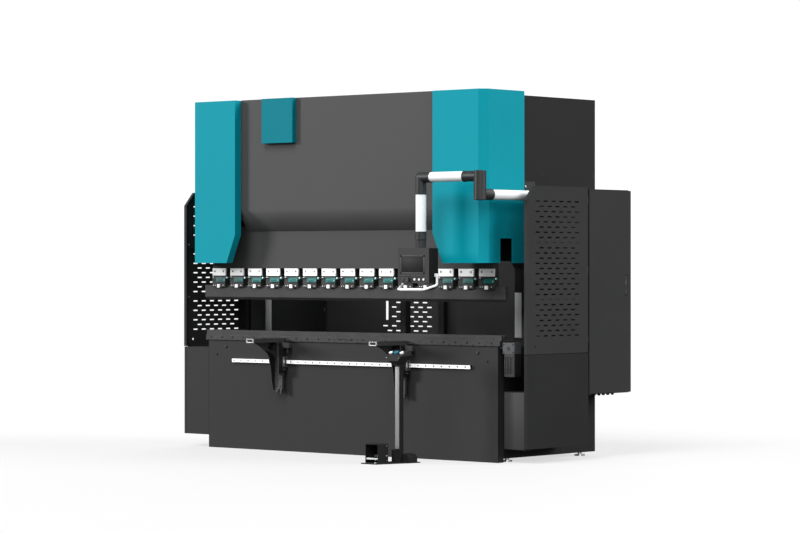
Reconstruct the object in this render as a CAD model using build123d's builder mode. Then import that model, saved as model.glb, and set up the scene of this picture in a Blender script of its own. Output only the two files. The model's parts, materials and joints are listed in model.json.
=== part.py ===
from build123d import *
import os

os.makedirs("parts", exist_ok=True)

# ---------------------------------------------------------------------------
# Hydraulic press brake.  Millimetres, +Z up, +X to the operator's right,
# -Y towards the operator.  Origin: floor level, under the middle of the bend
# line, on the underside of the bed plate.
# ---------------------------------------------------------------------------

# bed, die table and tools
BED_HALF = 1550.0          # half length of the bed plate
BED_T = 70.0               # bed and ram plate thickness
CROWN_Z0 = 832.0           # joint between the bed plate and the crowning base
TABLE_Z0, TABLE_Z1 = 900.0, 942.0
TABLE_HALF = 1575.0
DIE_HALF, DIE_W, DIE_Z1 = 1580.0, 56.0, 985.0
PUNCH_HALF, PUNCH_TIP, PUNCH_TOP = 1610.0, 1241.0, 1360.0
CLAMP_N, CLAMP_PITCH, CLAMP_W = 15, 205.0, 150.0

# frame
FRAME_X0, FRAME_X1 = 1310.0, 1380.0    # C-frame side plates
THROAT_Y = 480.0
THROAT_Z0, THROAT_Z1 = 895.0, 1560.0
HOUSING_X = 1550.0
HOUSING_Y1, HOUSING_Z1 = 1221.0, 2854.0
SIDE_X = 1837.0                        # outermost face of covers and guards
SHEET = 4.0

# ram
RAM_Z0, RAM_SHOULDER, RAM_TOP = 1500.0, 1850.0, 2780.0
RAM_HALF, RAM_NECK = 1500.0, 1040.0
CYL_X, CYL_BORE, ROD_R = 1345.0, 100.0, 60.0

# covers
COVER_X0, COVER_X1 = 1058.0, 1575.0
COVER_Y0, COVER_Y1 = -235.0, 265.0
COVER_Z0, COVER_Z1 = 1544.0, 2885.0
PANEL_Y, PANEL_Z0, PANEL_Z1 = -160.0, 1978.0, 2888.0

# guards, cabinet
GUARD_Y0, GUARD_Y1, GUARD_Z0, GUARD_Z1 = -40.0, 741.0, 842.0, 2140.0
GUARD_AXIS = (1831.0, 748.0)
CAB_Y0, CAB_Y1, CAB_Z0, CAB_Z1 = 758.0, 1315.0, 509.0, 2127.0
CAB_AXIS = (1829.0, 768.0)
REAR_AXIS = (1361.0, 1205.0)

# pendant
ARM_Y, ARM_X, ARM_Z1, ARM_Z2, TUBE_R = -443.0, 1700.0, 2066.0, 2205.0, 39.0
DROP_X = 1116.0

RUN = 0.05                 # radial clearance of running fits


def block(x0, x1, y0, y1, z0, z1, mode=Mode.ADD):
    with Locations(((x0 + x1) / 2, (y0 + y1) / 2, (z0 + z1) / 2)):
        Box(abs(x1 - x0), abs(y1 - y0), abs(z1 - z0), mode=mode)


def rod(axis, a, b, p, q, r, mode=Mode.ADD):
    """Round bar along X, Y or Z from a to b; p, q are the other two coordinates."""
    mid = (a + b) / 2
    place = {
        "X": Location((mid, p, q), (0, 90, 0)),
        "Y": Location((p, mid, q), (90, 0, 0)),
        "Z": Location((p, q, mid)),
    }[axis]
    with Locations(place):
        Cylinder(r, abs(b - a), mode=mode)


def prism(plane, points, depth, mode=Mode.ADD):
    with BuildSketch(plane) as profile:
        with BuildLine():
            Polyline(*points, close=True)
        make_face()
    extrude(profile.sketch, amount=depth, mode=mode)


def save(part, name):
    part.label = name
    export_step(part, f"parts/{name}.step")


# ---------------------------------------------------------------------------
# Bed, crowning, die table, lower die
# ---------------------------------------------------------------------------
with BuildPart() as bed_beam:
    block(-BED_HALF, BED_HALF, -35, 35, 0, CROWN_Z0)
    # tapped holes for the rail clamp bars, near each end
    for bolt_x in (-1450, 1450):
        rod("Y", -35, -5, bolt_x, 780, 8, Mode.SUBTRACT)
save(bed_beam.part, "bed_beam")

with BuildPart() as crowning_base:
    block(-BED_HALF, BED_HALF, -35, 35, CROWN_Z0, TABLE_Z0)
    block(-BED_HALF, BED_HALF, -16, 16, 878, TABLE_Z0, Mode.SUBTRACT)
    for bolt_x in (-1350, 1350):
        rod("Y", -35, -20, bolt_x, 848, 7, Mode.SUBTRACT)
save(crowning_base.part, "crowning_base")

with BuildPart() as crowning_wedge_bar:
    block(-1535, 1560, -15, 15, 878.5, 899.5)
    rod("X", 1560, 1612, 0, 889, 8)
save(crowning_wedge_bar.part, "crowning_wedge_bar")

with BuildPart() as die_table:
    block(-TABLE_HALF, TABLE_HALF, -45, 115, TABLE_Z0, TABLE_Z1)
    block(-TABLE_HALF, TABLE_HALF, -6, 6, 930, TABLE_Z1, Mode.SUBTRACT)
    table_edge = die_table.edges().filter_by(Axis.X).group_by(Axis.Y)[0]
    chamfer(table_edge, 1.5)
save(die_table.part, "die_table")

with BuildPart() as lower_die:
    prism(
        Plane.YZ.offset(-DIE_HALF),
        [(-28, TABLE_Z1), (-5.9, TABLE_Z1), (-5.9, 931), (5.9, 931), (5.9, TABLE_Z1),
         (28, TABLE_Z1), (28, DIE_Z1), (13, DIE_Z1), (0, DIE_Z1 - 13.5), (-13, DIE_Z1),
         (-28, DIE_Z1)],
        2 * DIE_HALF,
    )
save(lower_die.part, "lower_die")

# crowning drive at the right end of the table
with BuildPart() as crowning_gearbox:
    block(1590, 1708, -30, 62, 845, 930)
    fillet(crowning_gearbox.edges().filter_by(Axis.Z), 6)
    rod("X", 1590, 1640, 0, 889, 8 + RUN, Mode.SUBTRACT)
    block(1551, 1590, 36, 58, 850, 880)          # bolting ear to the crowning base
save(crowning_gearbox.part, "crowning_gearbox")

with BuildPart() as crowning_motor_cover:
    block(1605, 1708, -30, 62, 668, 845)
    fillet(crowning_motor_cover.edges().filter_by(Axis.Z), 8)
    # vertical cooling slots on the front and on the outer side
    for slot_x in (1620, 1635, 1650, 1665, 1680):
        block(slot_x, slot_x + 6, -31, -20, 690, 822, Mode.SUBTRACT)
    for slot_y in (-10, 6, 22, 38):
        block(1698, 1709, slot_y, slot_y + 6, 690, 822, Mode.SUBTRACT)
save(crowning_motor_cover.part, "crowning_motor_cover")

# ---------------------------------------------------------------------------
# C-frames, housings, feet
# ---------------------------------------------------------------------------
C_OUTLINE = [
    (35, 30), (1150, 30), (1150, 2800), (150, 2800), (150, 1895), (110, 1850),
    (110, THROAT_Z1), (420, THROAT_Z1), (THROAT_Y, 1500), (THROAT_Y, 955),
    (420, THROAT_Z0), (35, THROAT_Z0),
]
with BuildPart() as c_frame_right:
    prism(Plane.YZ.offset(FRAME_X0), C_OUTLINE, FRAME_X1 - FRAME_X0)
    # lightening window low in the plate, and the lifting eye at the top
    block(FRAME_X0, FRAME_X1, 500, 950, 250, 640, Mode.SUBTRACT)
    rod("X", FRAME_X0, FRAME_X1, 620, 2700, 40, Mode.SUBTRACT)
save(c_frame_right.part, "c_frame_right")

with BuildPart() as c_frame_left:
    mirror(c_frame_right.part, about=Plane.YZ)
save(c_frame_left.part, "c_frame_left")

HOUSING_OUTLINE = [
    (36, 30), (HOUSING_Y1, 30), (HOUSING_Y1, HOUSING_Z1), (268, HOUSING_Z1),
    (268, THROAT_Z1), (420, THROAT_Z1), (THROAT_Y, 1500), (THROAT_Y, 955),
    (420, THROAT_Z0), (36, THROAT_Z0),
]
with BuildPart() as housing_right:
    prism(Plane.YZ.offset(FRAME_X1 + 2), HOUSING_OUTLINE, HOUSING_X - FRAME_X1 - 2)
    # folded sheet box, open towards the C-frame and at the floor
    with BuildSketch(Plane.YZ.offset(FRAME_X1 + 2)) as hollow:
        with BuildLine():
            Polyline(*HOUSING_OUTLINE, close=True)
        make_face()
        offset(amount=-5)
    extrude(hollow.sketch, amount=HOUSING_X - FRAME_X1 - 2 - 5, mode=Mode.SUBTRACT)
    block(FRAME_X1 + 2, HOUSING_X - 5, 41, HOUSING_Y1 - 5, 29, 36, Mode.SUBTRACT)
save(housing_right.part, "housing_right")

with BuildPart() as housing_left:
    mirror(housing_right.part, about=Plane.YZ)
save(housing_left.part, "housing_left")

with BuildPart() as levelling_feet:
    for side in (-1, 1):
        for foot_y in (140, 1080):
            block(side * 1380, side * 1541, foot_y - 80, foot_y + 80, 32, 60)
            rod("Z", 12, 130, side * 1500, foot_y, 16)
            rod("Z", 60, 78, side * 1500, foot_y, 28)
            rod("Z", 0, 12, side * 1500, foot_y, 42)
            rod("Z", 32, 60, side * 1430, foot_y, 12, Mode.SUBTRACT)
save(levelling_feet.part, "levelling_feet")

# ---------------------------------------------------------------------------
# Lower side covers with recessed fronts
# ---------------------------------------------------------------------------
with BuildPart() as side_cover_right:
    block(SIDE_X - SHEET, SIDE_X, -35, 746, 115, 838)
    block(1810, SIDE_X, -35, -31, 115, 838)
    block(1806, 1810, -35, 40, 102, 838)
    block(1552, 1810, 36, 40, 102, 552)
    block(1552, SIDE_X, 36, 320, 548, 552)
    block(1552, SIDE_X, 316, 320, 548, 838)
    block(1552, SIDE_X, 316, 746, 834, 838)
    block(1552, SIDE_X, 742, 746, 115, 838)
    # upstand behind the lower edge of the guard
    block(1800, 1804, 322, 690, 836, 852)
save(side_cover_right.part, "side_cover_right")

with BuildPart() as side_cover_left:
    block(-SIDE_X, -SIDE_X + SHEET, -35, 746, 115, 838)
    block(-SIDE_X, -1552, -35, -31, 104, 838)
    block(-1811.5, -1808.5, -36, -33, 103, 839, Mode.SUBTRACT)
    block(-1556, -1552, -35, 20, 104, 838)
    block(-SIDE_X, -1552, -35, 746, 834, 838)
    block(-SIDE_X, -1552, 742, 746, 115, 838)
    # upstand behind the lower edge of the guard
    block(-1804, -1800, 42, 690, 836, 852)
save(side_cover_left.part, "side_cover_left")

# posts that carry the hinges of the side guards
HINGE_Z = (905.0, 1450.0, 2000.0)
with BuildPart() as guard_posts:
    for side in (-1, 1):
        block(side * 1785, side * 1815, 700, 735, 838, 2130)
        for arm_z in (1230, 2050):
            block(side * HOUSING_X, side * 1785, 705, 730, arm_z, arm_z + 30)
        for z in HINGE_Z:
            block(side * 1805, side * 1829, 733, 750, z, z + 30)
            rod("Z", z, z + 30, side * GUARD_AXIS[0], GUARD_AXIS[1], 5)
            rod("Z", z + 30, z + 56, side * GUARD_AXIS[0], GUARD_AXIS[1], 2.5)
save(guard_posts.part, "guard_posts")


def slots(first, pitch, counts, rows, row_pitch, z0):
    """Centres of alternating rows of slots: (along, up)."""
    spots = []
    for k in range(rows):
        n, shift = counts[k % 2], (0 if k % 2 == 0 else pitch / 2)
        spots += [(first + shift + pitch * i, z0 + row_pitch * k) for i in range(n)]
    return spots


# ---------------------------------------------------------------------------
# Hinged perforated side guards
# ---------------------------------------------------------------------------
GUARD_SLOTS = slots(96, 100, (6, 5), 27, 40, 982)
with BuildPart() as side_guard_right:
    with BuildSketch(Plane.YZ.offset(SIDE_X - SHEET)) as guard_sheet:
        with BuildLine():
            Polyline(
                (GUARD_Y0, GUARD_Z0), (GUARD_Y1, GUARD_Z0), (GUARD_Y1, GUARD_Z1),
                (GUARD_Y0 + 100, GUARD_Z1), (GUARD_Y0, GUARD_Z1 - 113), close=True,
            )
        make_face()
        with Locations(*GUARD_SLOTS):
            SlotOverall(54, 10.5, mode=Mode.SUBTRACT)
        with Locations((65, 900)):
            Circle(12.5, mode=Mode.SUBTRACT)
    extrude(guard_sheet.sketch, amount=SHEET)
    # folded flanges: front, chamfer, top, bottom
    block(1810, SIDE_X, GUARD_Y0, GUARD_Y0 + SHEET, GUARD_Z0, GUARD_Z1 - 113)
    block(1810, SIDE_X, GUARD_Y0 + 100, GUARD_Y1, GUARD_Z1 - SHEET, GUARD_Z1)
    block(1812, SIDE_X, GUARD_Y0, 690, GUARD_Z0, GUARD_Z0 + SHEET)
    prism(
        Plane.YZ.offset(1810),
        [(GUARD_Y0, GUARD_Z1 - 113), (GUARD_Y0 + 4, GUARD_Z1 - 115),
         (GUARD_Y0 + 102, GUARD_Z1 - 4), (GUARD_Y0 + 100, GUARD_Z1)],
        SIDE_X - 1810,
    )
    # stiffening ribs behind two rows of slots
    for rib_z in (1246, 1686):
        block(1817, SIDE_X - SHEET, GUARD_Y0, 690, rib_z - 13, rib_z + 37)
    # hinge knuckles
    for z in HINGE_Z:
        block(1831, SIDE_X, 738, 748, z + 30.5, z + 60.5)
        rod("Z", z + 30.5, z + 60.5, GUARD_AXIS[0], GUARD_AXIS[1], 5)
        rod("Z", z + 30, z + 61, GUARD_AXIS[0], GUARD_AXIS[1], 2.5 + RUN, Mode.SUBTRACT)
save(side_guard_right.part, "side_guard_right")

with BuildPart() as side_guard_left:
    mirror(side_guard_right.part, about=Plane.YZ)
save(side_guard_left.part, "side_guard_left")

# ---------------------------------------------------------------------------
# Front rail and sheet supports
# ---------------------------------------------------------------------------
with BuildPart() as front_rail:
    block(-1268, 1295, -55, -35, 720, 748)
    with Locations(*[(x, -55, 734) for x in range(-1240, 1241, 80)]):
        with Locations(Location((0, 0, 0), (90, 0, 0))):
            Cylinder(7, 12, mode=Mode.SUBTRACT)
save(front_rail.part, "front_rail")


def support_arm(cx):
    # carriage wrapped round the rail
    block(cx - 60, cx + 60, -92, -40, 690, 778)
    block(cx - 61, cx + 61, -55.5, -34, 719.5, 748.5, Mode.SUBTRACT)
    # long curved blade that carries the top bar out to its tip
    prism(
        Plane.YZ.offset(cx - 45),
        [(-92, 895), (-428, 895), (-380, 892), (-330, 886), (-293, 876), (-256, 855),
         (-214, 828), (-180, 804), (-160, 774), (-151, 733), (-138, 668), (-130, 586),
         (-122, 550), (-108, 508), (-92, 498)],
        8,
    )
    # shorter blade on the other side
    prism(
        Plane.YZ.offset(cx + 37),
        [(-92, 895), (-146, 895), (-140, 850), (-134, 640), (-92, 620)],
        8,
    )
    # curved rib in the corner below the bar
    prism(
        Plane.YZ.offset(cx - 37.5),
        [(-172, 838), (-160, 866), (-130, 896), (-91, 896), (-91, 882), (-122, 878),
         (-144, 858), (-156, 832)],
        38,
    )
    # mounting plate behind the gusset
    prism(
        Plane.XZ.offset(78),
        [(cx - 45, 895), (cx - 45, 512), (cx - 24, 488), (cx - 18, 480), (cx - 2, 480),
         (cx + 8, 512), (cx + 18, 512), (cx + 24, 474), (cx + 45, 470), (cx + 45, 895)],
        14,
    )
    # top bar that the sheet rests on
    block(cx - 42, cx + 42, -430, -62, 895, 930)
    block(cx - 32, cx + 32, -431, -418, 900, 925, Mode.SUBTRACT)
    # height adjusting block beside the bar
    block(cx + 42, cx + 110, -84, -60, 850, 890)
    block(cx + 20, cx + 60, -90, -62, 860, 895)


with BuildPart() as support_arm_left:
    support_arm(-707)
save(support_arm_left.part, "support_arm_left")

with BuildPart() as support_arm_right:
    support_arm(612)
save(support_arm_right.part, "support_arm_right")

# ---------------------------------------------------------------------------
# Cylinder covers, upper front panel, badge box
# ---------------------------------------------------------------------------
BEVEL = 58.0
# hollow inside of a cylinder cover, open below and behind
with BuildPart() as cover_void:
    prism(
        Plane.XY.offset(COVER_Z0 - 10),
        [(COVER_X0 + 5, COVER_Y0 + 5), (COVER_X1 - BEVEL - 2, COVER_Y0 + 5),
         (COVER_X1 - 5, COVER_Y0 + BEVEL + 2), (COVER_X1 - 5, COVER_Y1 + 5),
         (COVER_X0 + 5, COVER_Y1 + 5)],
        COVER_Z1 - COVER_Z0 + 5,
    )
    prism(
        Plane.XZ.offset(-COVER_Y1 - 6),
        [(COVER_X0, COVER_Z0 - 11), (COVER_X0 + 108, COVER_Z0 - 11),
         (COVER_X0, COVER_Z0 + 249)],
        COVER_Y1 - COVER_Y0 + 12,
        Mode.SUBTRACT,
    )

with BuildPart() as cylinder_cover_right:
    prism(
        Plane.XY.offset(COVER_Z0),
        [(COVER_X0, COVER_Y0), (COVER_X1 - BEVEL, COVER_Y0), (COVER_X1, COVER_Y0 + BEVEL),
         (COVER_X1, COVER_Y1), (COVER_X0, COVER_Y1)],
        COVER_Z1 - COVER_Z0,
    )
    # inner lower corner cut on the slant
    prism(
        Plane.XZ.offset(-COVER_Y1 - 1),
        [(COVER_X0 - 1, COVER_Z0 - 1), (COVER_X0 + 97, COVER_Z0 - 1),
         (COVER_X0 - 1, COVER_Z0 + 237)],
        COVER_Y1 - COVER_Y0 + 2,
        Mode.SUBTRACT,
    )
    add(cover_void.part, mode=Mode.SUBTRACT)
    # open inner side behind the front return, for the ram and the frame
    block(COVER_X0 - 5, COVER_X0 + 110, -163, COVER_Y1 + 5, COVER_Z0 - 5, COVER_Z1 - 5,
          Mode.SUBTRACT)
    # notch in the outer side above the lower edge
    block(COVER_X1 - 10, COVER_X1 + 5, -35, 110, COVER_Z0 - 5, 1735, Mode.SUBTRACT)
save(cylinder_cover_right.part, "cylinder_cover_right")

with BuildPart() as cylinder_cover_left:
    mirror(cylinder_cover_right.part, about=Plane.YZ)
save(cylinder_cover_left.part, "cylinder_cover_left")

with BuildPart() as front_panel:
    block(-1100, 1100, PANEL_Y, PANEL_Y + 4, PANEL_Z0, PANEL_Z1 - 12)
    block(-1052, 1052, PANEL_Y, PANEL_Y + 4, PANEL_Z1 - 12, PANEL_Z1)
    block(-1052, 1052, PANEL_Y, 265, PANEL_Z1 - 4, PANEL_Z1)
    prism(
        Plane.YZ.offset(-1100),
        [(PANEL_Y, PANEL_Z0), (PANEL_Y + 4, PANEL_Z0 + 1.5), (-38, 1812), (-38, 1807)],
        2200,
    )
save(front_panel.part, "front_panel")

with BuildPart() as badge_box:
    block(-790, -445, -205, PANEL_Y, 2523, 2888)
    fillet(badge_box.edges().filter_by(Axis.Z).group_by(Axis.Y)[0], 6)
save(badge_box.part, "badge_box")

# ---------------------------------------------------------------------------
# Hydraulics
# ---------------------------------------------------------------------------
with BuildPart() as cylinder_blocks:
    for side in (-1, 1):
        block(side * (CYL_X - 140), side * (CYL_X + 140), -140, 140, 1900, 2620)
        rod("Z", 1900, 2600, side * CYL_X, 0, ROD_R + RUN, Mode.SUBTRACT)
        rod("Z", 1960, 2600, side * CYL_X, 0, CYL_BORE, Mode.SUBTRACT)
        # saddle plate against the C-frame
        block(side * (CYL_X - 120), side * (CYL_X + 120), 140, 150, 1980, 2560)
        # valve block bolted on the front with its prefill valve
        block(side * (CYL_X - 90), side * (CYL_X + 90), -175, -140, 2300, 2560)
        rod("Z", 2620, 2740, side * CYL_X, 0, 90)
save(cylinder_blocks.part, "cylinder_blocks")

with BuildPart() as oil_tank:
    block(-1200, 1200, 330, 1000, 2300, 2640)
    block(-1190, 1190, 340, 990, 2310, 2630, Mode.SUBTRACT)
    block(-1308, 1308, 700, 780, 2240, 2300)
    # sight gauge and filler cap
    rod("Z", 2640, 2690, -900, 560, 45)
    rod("Z", 2640, 2660, 900, 800, 60)
save(oil_tank.part, "oil_tank")

with BuildPart() as pump_motor:
    rod("X", -260, 130, 660, 2770, 120)
    block(-200, 60, 560, 760, 2640, 2680)
    block(-180, 40, 590, 730, 2660, 2700)
    rod("X", 130, 180, 660, 2770, 90)
    rod("X", 180, 330, 660, 2770, 62)
    block(-130, 10, 610, 710, 2870, 2880)
save(pump_motor.part, "pump_motor")

# guide rails on the C-frames for the ram
with BuildPart() as ram_guides:
    for side in (-1, 1):
        block(side * 1320, side * 1370, 76, 110, 1562, 1845)
save(ram_guides.part, "ram_guides")

# ---------------------------------------------------------------------------
# Ram, punch and clamps
# ---------------------------------------------------------------------------
with BuildPart() as ram_beam:
    prism(
        Plane.XZ.offset(-35),
        [(-RAM_HALF, RAM_Z0), (RAM_HALF, RAM_Z0), (RAM_HALF, RAM_SHOULDER),
         (RAM_NECK, RAM_SHOULDER), (RAM_NECK, RAM_TOP), (-RAM_NECK, RAM_TOP),
         (-RAM_NECK, RAM_SHOULDER), (-RAM_HALF, RAM_SHOULDER)],
        BED_T,
    )
    fillet(
        ram_beam.edges().filter_by(Axis.Y).filter_by_position(
            Axis.Z, RAM_SHOULDER - 1, RAM_SHOULDER + 1).group_by(SortBy.DISTANCE)[0], 20)
save(ram_beam.part, "ram_beam")

with BuildPart() as piston_rods:
    for side in (-1, 1):
        rod("Z", RAM_SHOULDER, 2440, side * CYL_X, 0, ROD_R)
        rod("Z", 2440, 2560, side * CYL_X, 0, CYL_BORE - RUN)
save(piston_rods.part, "piston_rods")

with BuildPart() as ram_guide_blocks:
    for side in (-1, 1):
        # a shoe each side of the guide rail, bolted to the back of the ram
        block(side * 1285, side * 1405, 35, 75, 1600, 1820)
        block(side * 1285, side * 1319.5, 75, 100, 1600, 1820)
        block(side * 1370.5, side * 1405, 75, 100, 1600, 1820)
        block(side * 1305, side * 1319.5, 75, 101, 1599, 1821, Mode.SUBTRACT)
        block(side * 1370.5, side * 1385, 75, 101, 1599, 1821, Mode.SUBTRACT)
save(ram_guide_blocks.part, "ram_guide_blocks")

CLAMP_X = [(i - (CLAMP_N - 1) / 2) * CLAMP_PITCH for i in range(CLAMP_N)]
with BuildPart() as clamp_bodies:
    for cx in CLAMP_X:
        # hanger block under the ram
        block(cx - 75, cx + 75, -20, 30, 1361, RAM_Z0)
        # jaw in front of the punch shank
        block(cx - 75, cx + 75, -36, -17, 1345, 1436)
        # keeper behind the punch shank
        block(cx - 75, cx + 75, 14.5, 30, 1345, 1361)
save(clamp_bodies.part, "clamp_bodies")

with BuildPart() as clamp_plates:
    for cx in CLAMP_X:
        block(cx - 75, cx + 75, -32, -20, 1440, RAM_Z0)
        with Locations(*[Location((cx + s, -32, 1475), (90, 0, 0)) for s in (-49, 49)]):
            Cylinder(9, 8, mode=Mode.SUBTRACT)
        block(cx - 12, cx + 18, -44, -36, 1340, 1368)
save(clamp_plates.part, "clamp_plates")

with BuildPart() as clamp_levers:
    for cx in CLAMP_X:
        block(cx - 16, cx + 83, -50, -38, 1388, 1419)
        block(cx + 60, cx + 120, -46, -40, 1412, 1419)
        rod("Y", -52, -38, cx + 108, 1423, 9)
    rod("X", CLAMP_X[0] - 60, CLAMP_X[-1] + 120, -42, 1421.5, 3)
save(clamp_levers.part, "clamp_levers")

with BuildPart() as upper_punch:
    prism(
        Plane.YZ.offset(-PUNCH_HALF),
        [(-16, PUNCH_TOP), (-16, 1262), (-1, PUNCH_TIP), (1, PUNCH_TIP), (9, 1262),
         (14, 1290), (14, PUNCH_TOP)],
        2 * PUNCH_HALF,
    )
save(upper_punch.part, "upper_punch")

# ---------------------------------------------------------------------------
# Electrical cabinet
# ---------------------------------------------------------------------------
with BuildPart() as cabinet_shell:
    block(HOUSING_X, 1813, CAB_Y0, CAB_Y1, CAB_Z0, CAB_Z1)
    block(HOUSING_X + 5, 1814, CAB_Y0 + 4, CAB_Y1 - 4, CAB_Z0 + 4, CAB_Z1 - 4, Mode.SUBTRACT)
    # equipment plate with drive units
    block(1570, 1573, 800, 1275, 560, 2080)
    for spacer_z in (620, 1900):
        for spacer_y in (830, 1245):
            rod("X", 1552, 1571, spacer_y, spacer_z, 6)
    for unit_z, unit_h, unit_d in ((1750, 260, 150), (1350, 260, 120), (1000, 180, 90), (700, 150, 110)):
        block(1572, 1572 + unit_d, 850, 1010, unit_z, unit_z + unit_h)
        block(1572, 1572 + unit_d - 20, 1040, 1230, unit_z, unit_z + unit_h - 30)
    # pivot lugs and pins for the door
    for z0, z1, p0, p1 in ((2123, CAB_Z1, 2103, 2123), (CAB_Z0, 513, 513, 533)):
        block(1809, 1835, 759, 777, z0, z1)
        rod("Z", p0, p1, CAB_AXIS[0], CAB_AXIS[1], 3)
save(cabinet_shell.part, "cabinet_shell")

with BuildPart() as cabinet_door:
    block(1817, SIDE_X, 760, CAB_Y1 - 2, 515, 2121)
    block(1816, SIDE_X - 4, 764, CAB_Y1 - 6, 519, 2117, Mode.SUBTRACT)
    for z0, z1 in ((2096, 2121), (515, 540)):
        block(1818, SIDE_X, 760, 780, z0, z1)
        rod("Z", z0 - 1, z1 + 1, CAB_AXIS[0], CAB_AXIS[1], 3 + RUN, Mode.SUBTRACT)
    # recessed cup of the swing handle
    block(1817, SIDE_X, 1229, 1271, 1283, 1451)
    block(1821, SIDE_X + 1, 1233, 1267, 1287, 1447, Mode.SUBTRACT)
    rod("Y", 1230, 1270, 1831, 1436, 3 + RUN, Mode.SUBTRACT)
save(cabinet_door.part, "cabinet_door")

with BuildPart() as cabinet_latch:
    block(1826, 1836.5, 1236, 1264, 1291, 1443)
    fillet(cabinet_latch.edges().filter_by(Axis.X), 4)
    rod("Y", 1230, 1270, 1831, 1436, 3)
save(cabinet_latch.part, "cabinet_latch")

# ---------------------------------------------------------------------------
# Rear frame and doors
# ---------------------------------------------------------------------------
with BuildPart() as rear_frame:
    block(-1380, 1380, 1150, HOUSING_Y1, 40, 100)
    block(-1380, 1380, 1150, HOUSING_Y1, 2150, 2230)
    block(-30, 30, 1150, 1188, 100, 2150)
    block(-1380, 1380, 1216, HOUSING_Y1, 2230, HOUSING_Z1)
    # ventilation louvres over the oil tank
    with Locations(*[(x, 1218.5, z) for x in range(-1000, 1001, 250) for z in range(2350, 2751, 50)]):
        Box(180, 8, 16, mode=Mode.SUBTRACT)
    for side in (-1, 1):
        rod("Z", 100, 124, side * REAR_AXIS[0], REAR_AXIS[1], 5)
        rod("Z", 2126, 2150, side * REAR_AXIS[0], REAR_AXIS[1], 5)
save(rear_frame.part, "rear_frame")

# slots leave room for the upright grip opening
REAR_SLOTS = [
    (x, z) for x, z in slots(179, 97.3, (6, 5), 28, 40, 930) if x < 600 or not 1040 < z < 1290
]


def rear_door(perforated):
    with BuildSketch(Plane.XZ.offset(-1215)) as door_sheet:
        with BuildLine():
            Polyline((3, 104), (1373, 104), (1373, 2146), (3, 2146), close=True)
        make_face()
        if perforated:
            with Locations(*REAR_SLOTS):
                SlotOverall(54, 10.5, mode=Mode.SUBTRACT)
            with Locations((646.5, 1142)):
                Rectangle(27, 162, mode=Mode.SUBTRACT)
    extrude(door_sheet.sketch, amount=3)
    for x0, x1, z0, z1 in ((3, 6, 104, 2146), (1370, 1373, 104, 2146), (3, 1373, 104, 107),
                           (3, 1373, 2143, 2146)):
        block(x0, x1, 1195, 1215, z0, z1)
    for z0, z1 in ((104, 130), (2120, 2146)):
        block(1351, 1373, 1195, 1215, z0, z1)
        rod("Z", z0 - 1, z1 + 1, REAR_AXIS[0], REAR_AXIS[1], 5 + RUN, Mode.SUBTRACT)
    # pull handle
    block(40, 60, 1215, 1240, 1080, 1100)
    block(40, 60, 1215, 1240, 1260, 1280)
    block(40, 60, 1232, 1240, 1080, 1280)


with BuildPart() as rear_door_right:
    rear_door(False)
save(rear_door_right.part, "rear_door_right")

with BuildPart() as perforated_door:
    rear_door(True)

with BuildPart() as rear_door_left:
    mirror(perforated_door.part, about=Plane.YZ)
save(rear_door_left.part, "rear_door_left")

# ---------------------------------------------------------------------------
# Back gauge
# ---------------------------------------------------------------------------
GAUGE_X = 620.0
COLUMN_X = -33.0
with BuildPart() as backgauge_rails:
    for side in (-1, 1):
        block(side * (GAUGE_X - 40), side * (GAUGE_X + 40), 35, 1120, 560, 640)
        block(side * (GAUGE_X - 12), side * (GAUGE_X + 12), 60, 1110, 640, 662)
save(backgauge_rails.part, "backgauge_rails")

with BuildPart() as backgauge_carriage:
    for side in (-1, 1):
        block(side * (GAUGE_X - 45), side * (GAUGE_X + 45), 660, 800, 641, 700)
        block(side * (GAUGE_X - 12.5), side * (GAUGE_X + 12.5), 655, 805, 640, 662.5, Mode.SUBTRACT)
    block(-GAUGE_X - 45, GAUGE_X + 45, 690, 770, 700, 740)
    # central column that the finger beam rides up and down on
    block(COLUMN_X - 28, COLUMN_X + 28, 697, 762, 740, 1290)
save(backgauge_carriage.part, "backgauge_carriage")

with BuildPart() as backgauge_beam:
    block(-1150, 1150, 590, 660, 830, 900)
    block(COLUMN_X - 70, COLUMN_X + 70, 660, 696.5, 800, 940)
    block(COLUMN_X - 70, COLUMN_X - 28.5, 696, 762, 800, 940)
    block(COLUMN_X + 28.5, COLUMN_X + 70, 696, 762, 800, 940)
save(backgauge_beam.part, "backgauge_beam")


def finger(cx):
    # block that rides on the beam
    block(cx - 45, cx + 45, 575, 675, 815, 925)
    block(cx - 46, cx + 46, 589.5, 660.5, 829.5, 900.5, Mode.SUBTRACT)
    # opening for the column carriage behind the beam
    block(cx - 46, cx + 46, 660, 676, 814, 900.5, Mode.SUBTRACT)
    # finger reaching forwards with a stepped nose
    block(cx - 20, cx + 20, 330, 575, 870, 915)
    block(cx - 20, cx + 20, 330, 372, 915, 950)


with BuildPart() as gauge_finger_left:
    finger(-520)
save(gauge_finger_left.part, "gauge_finger_left")

with BuildPart() as gauge_finger_right:
    finger(520)
save(gauge_finger_right.part, "gauge_finger_right")

# ---------------------------------------------------------------------------
# Pendant: bracket, swivelling arm, console
# ---------------------------------------------------------------------------
with BuildPart() as pendant_bracket:
    block(HOUSING_X, 1562, 276, 416, 1950, 2180)
    block(1562, 1705, 308, 384, 2030, 2102)
    rod("Y", 296, 396, ARM_X, ARM_Z1, 47)
    # knee at the front end, lower half of the swivel joint
    rod("Y", -443, -318, ARM_X, ARM_Z1, 43)
    rod("Z", 2025, 2134, ARM_X, ARM_Y, 48)
    rod("Z", 2134, 2190, ARM_X, ARM_Y, 20)
save(pendant_bracket.part, "pendant_bracket")

with BuildPart() as pendant_lower_tube:
    rod("Y", -318, 296, ARM_X, ARM_Z1, TUBE_R)
save(pendant_lower_tube.part, "pendant_lower_tube")

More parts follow.
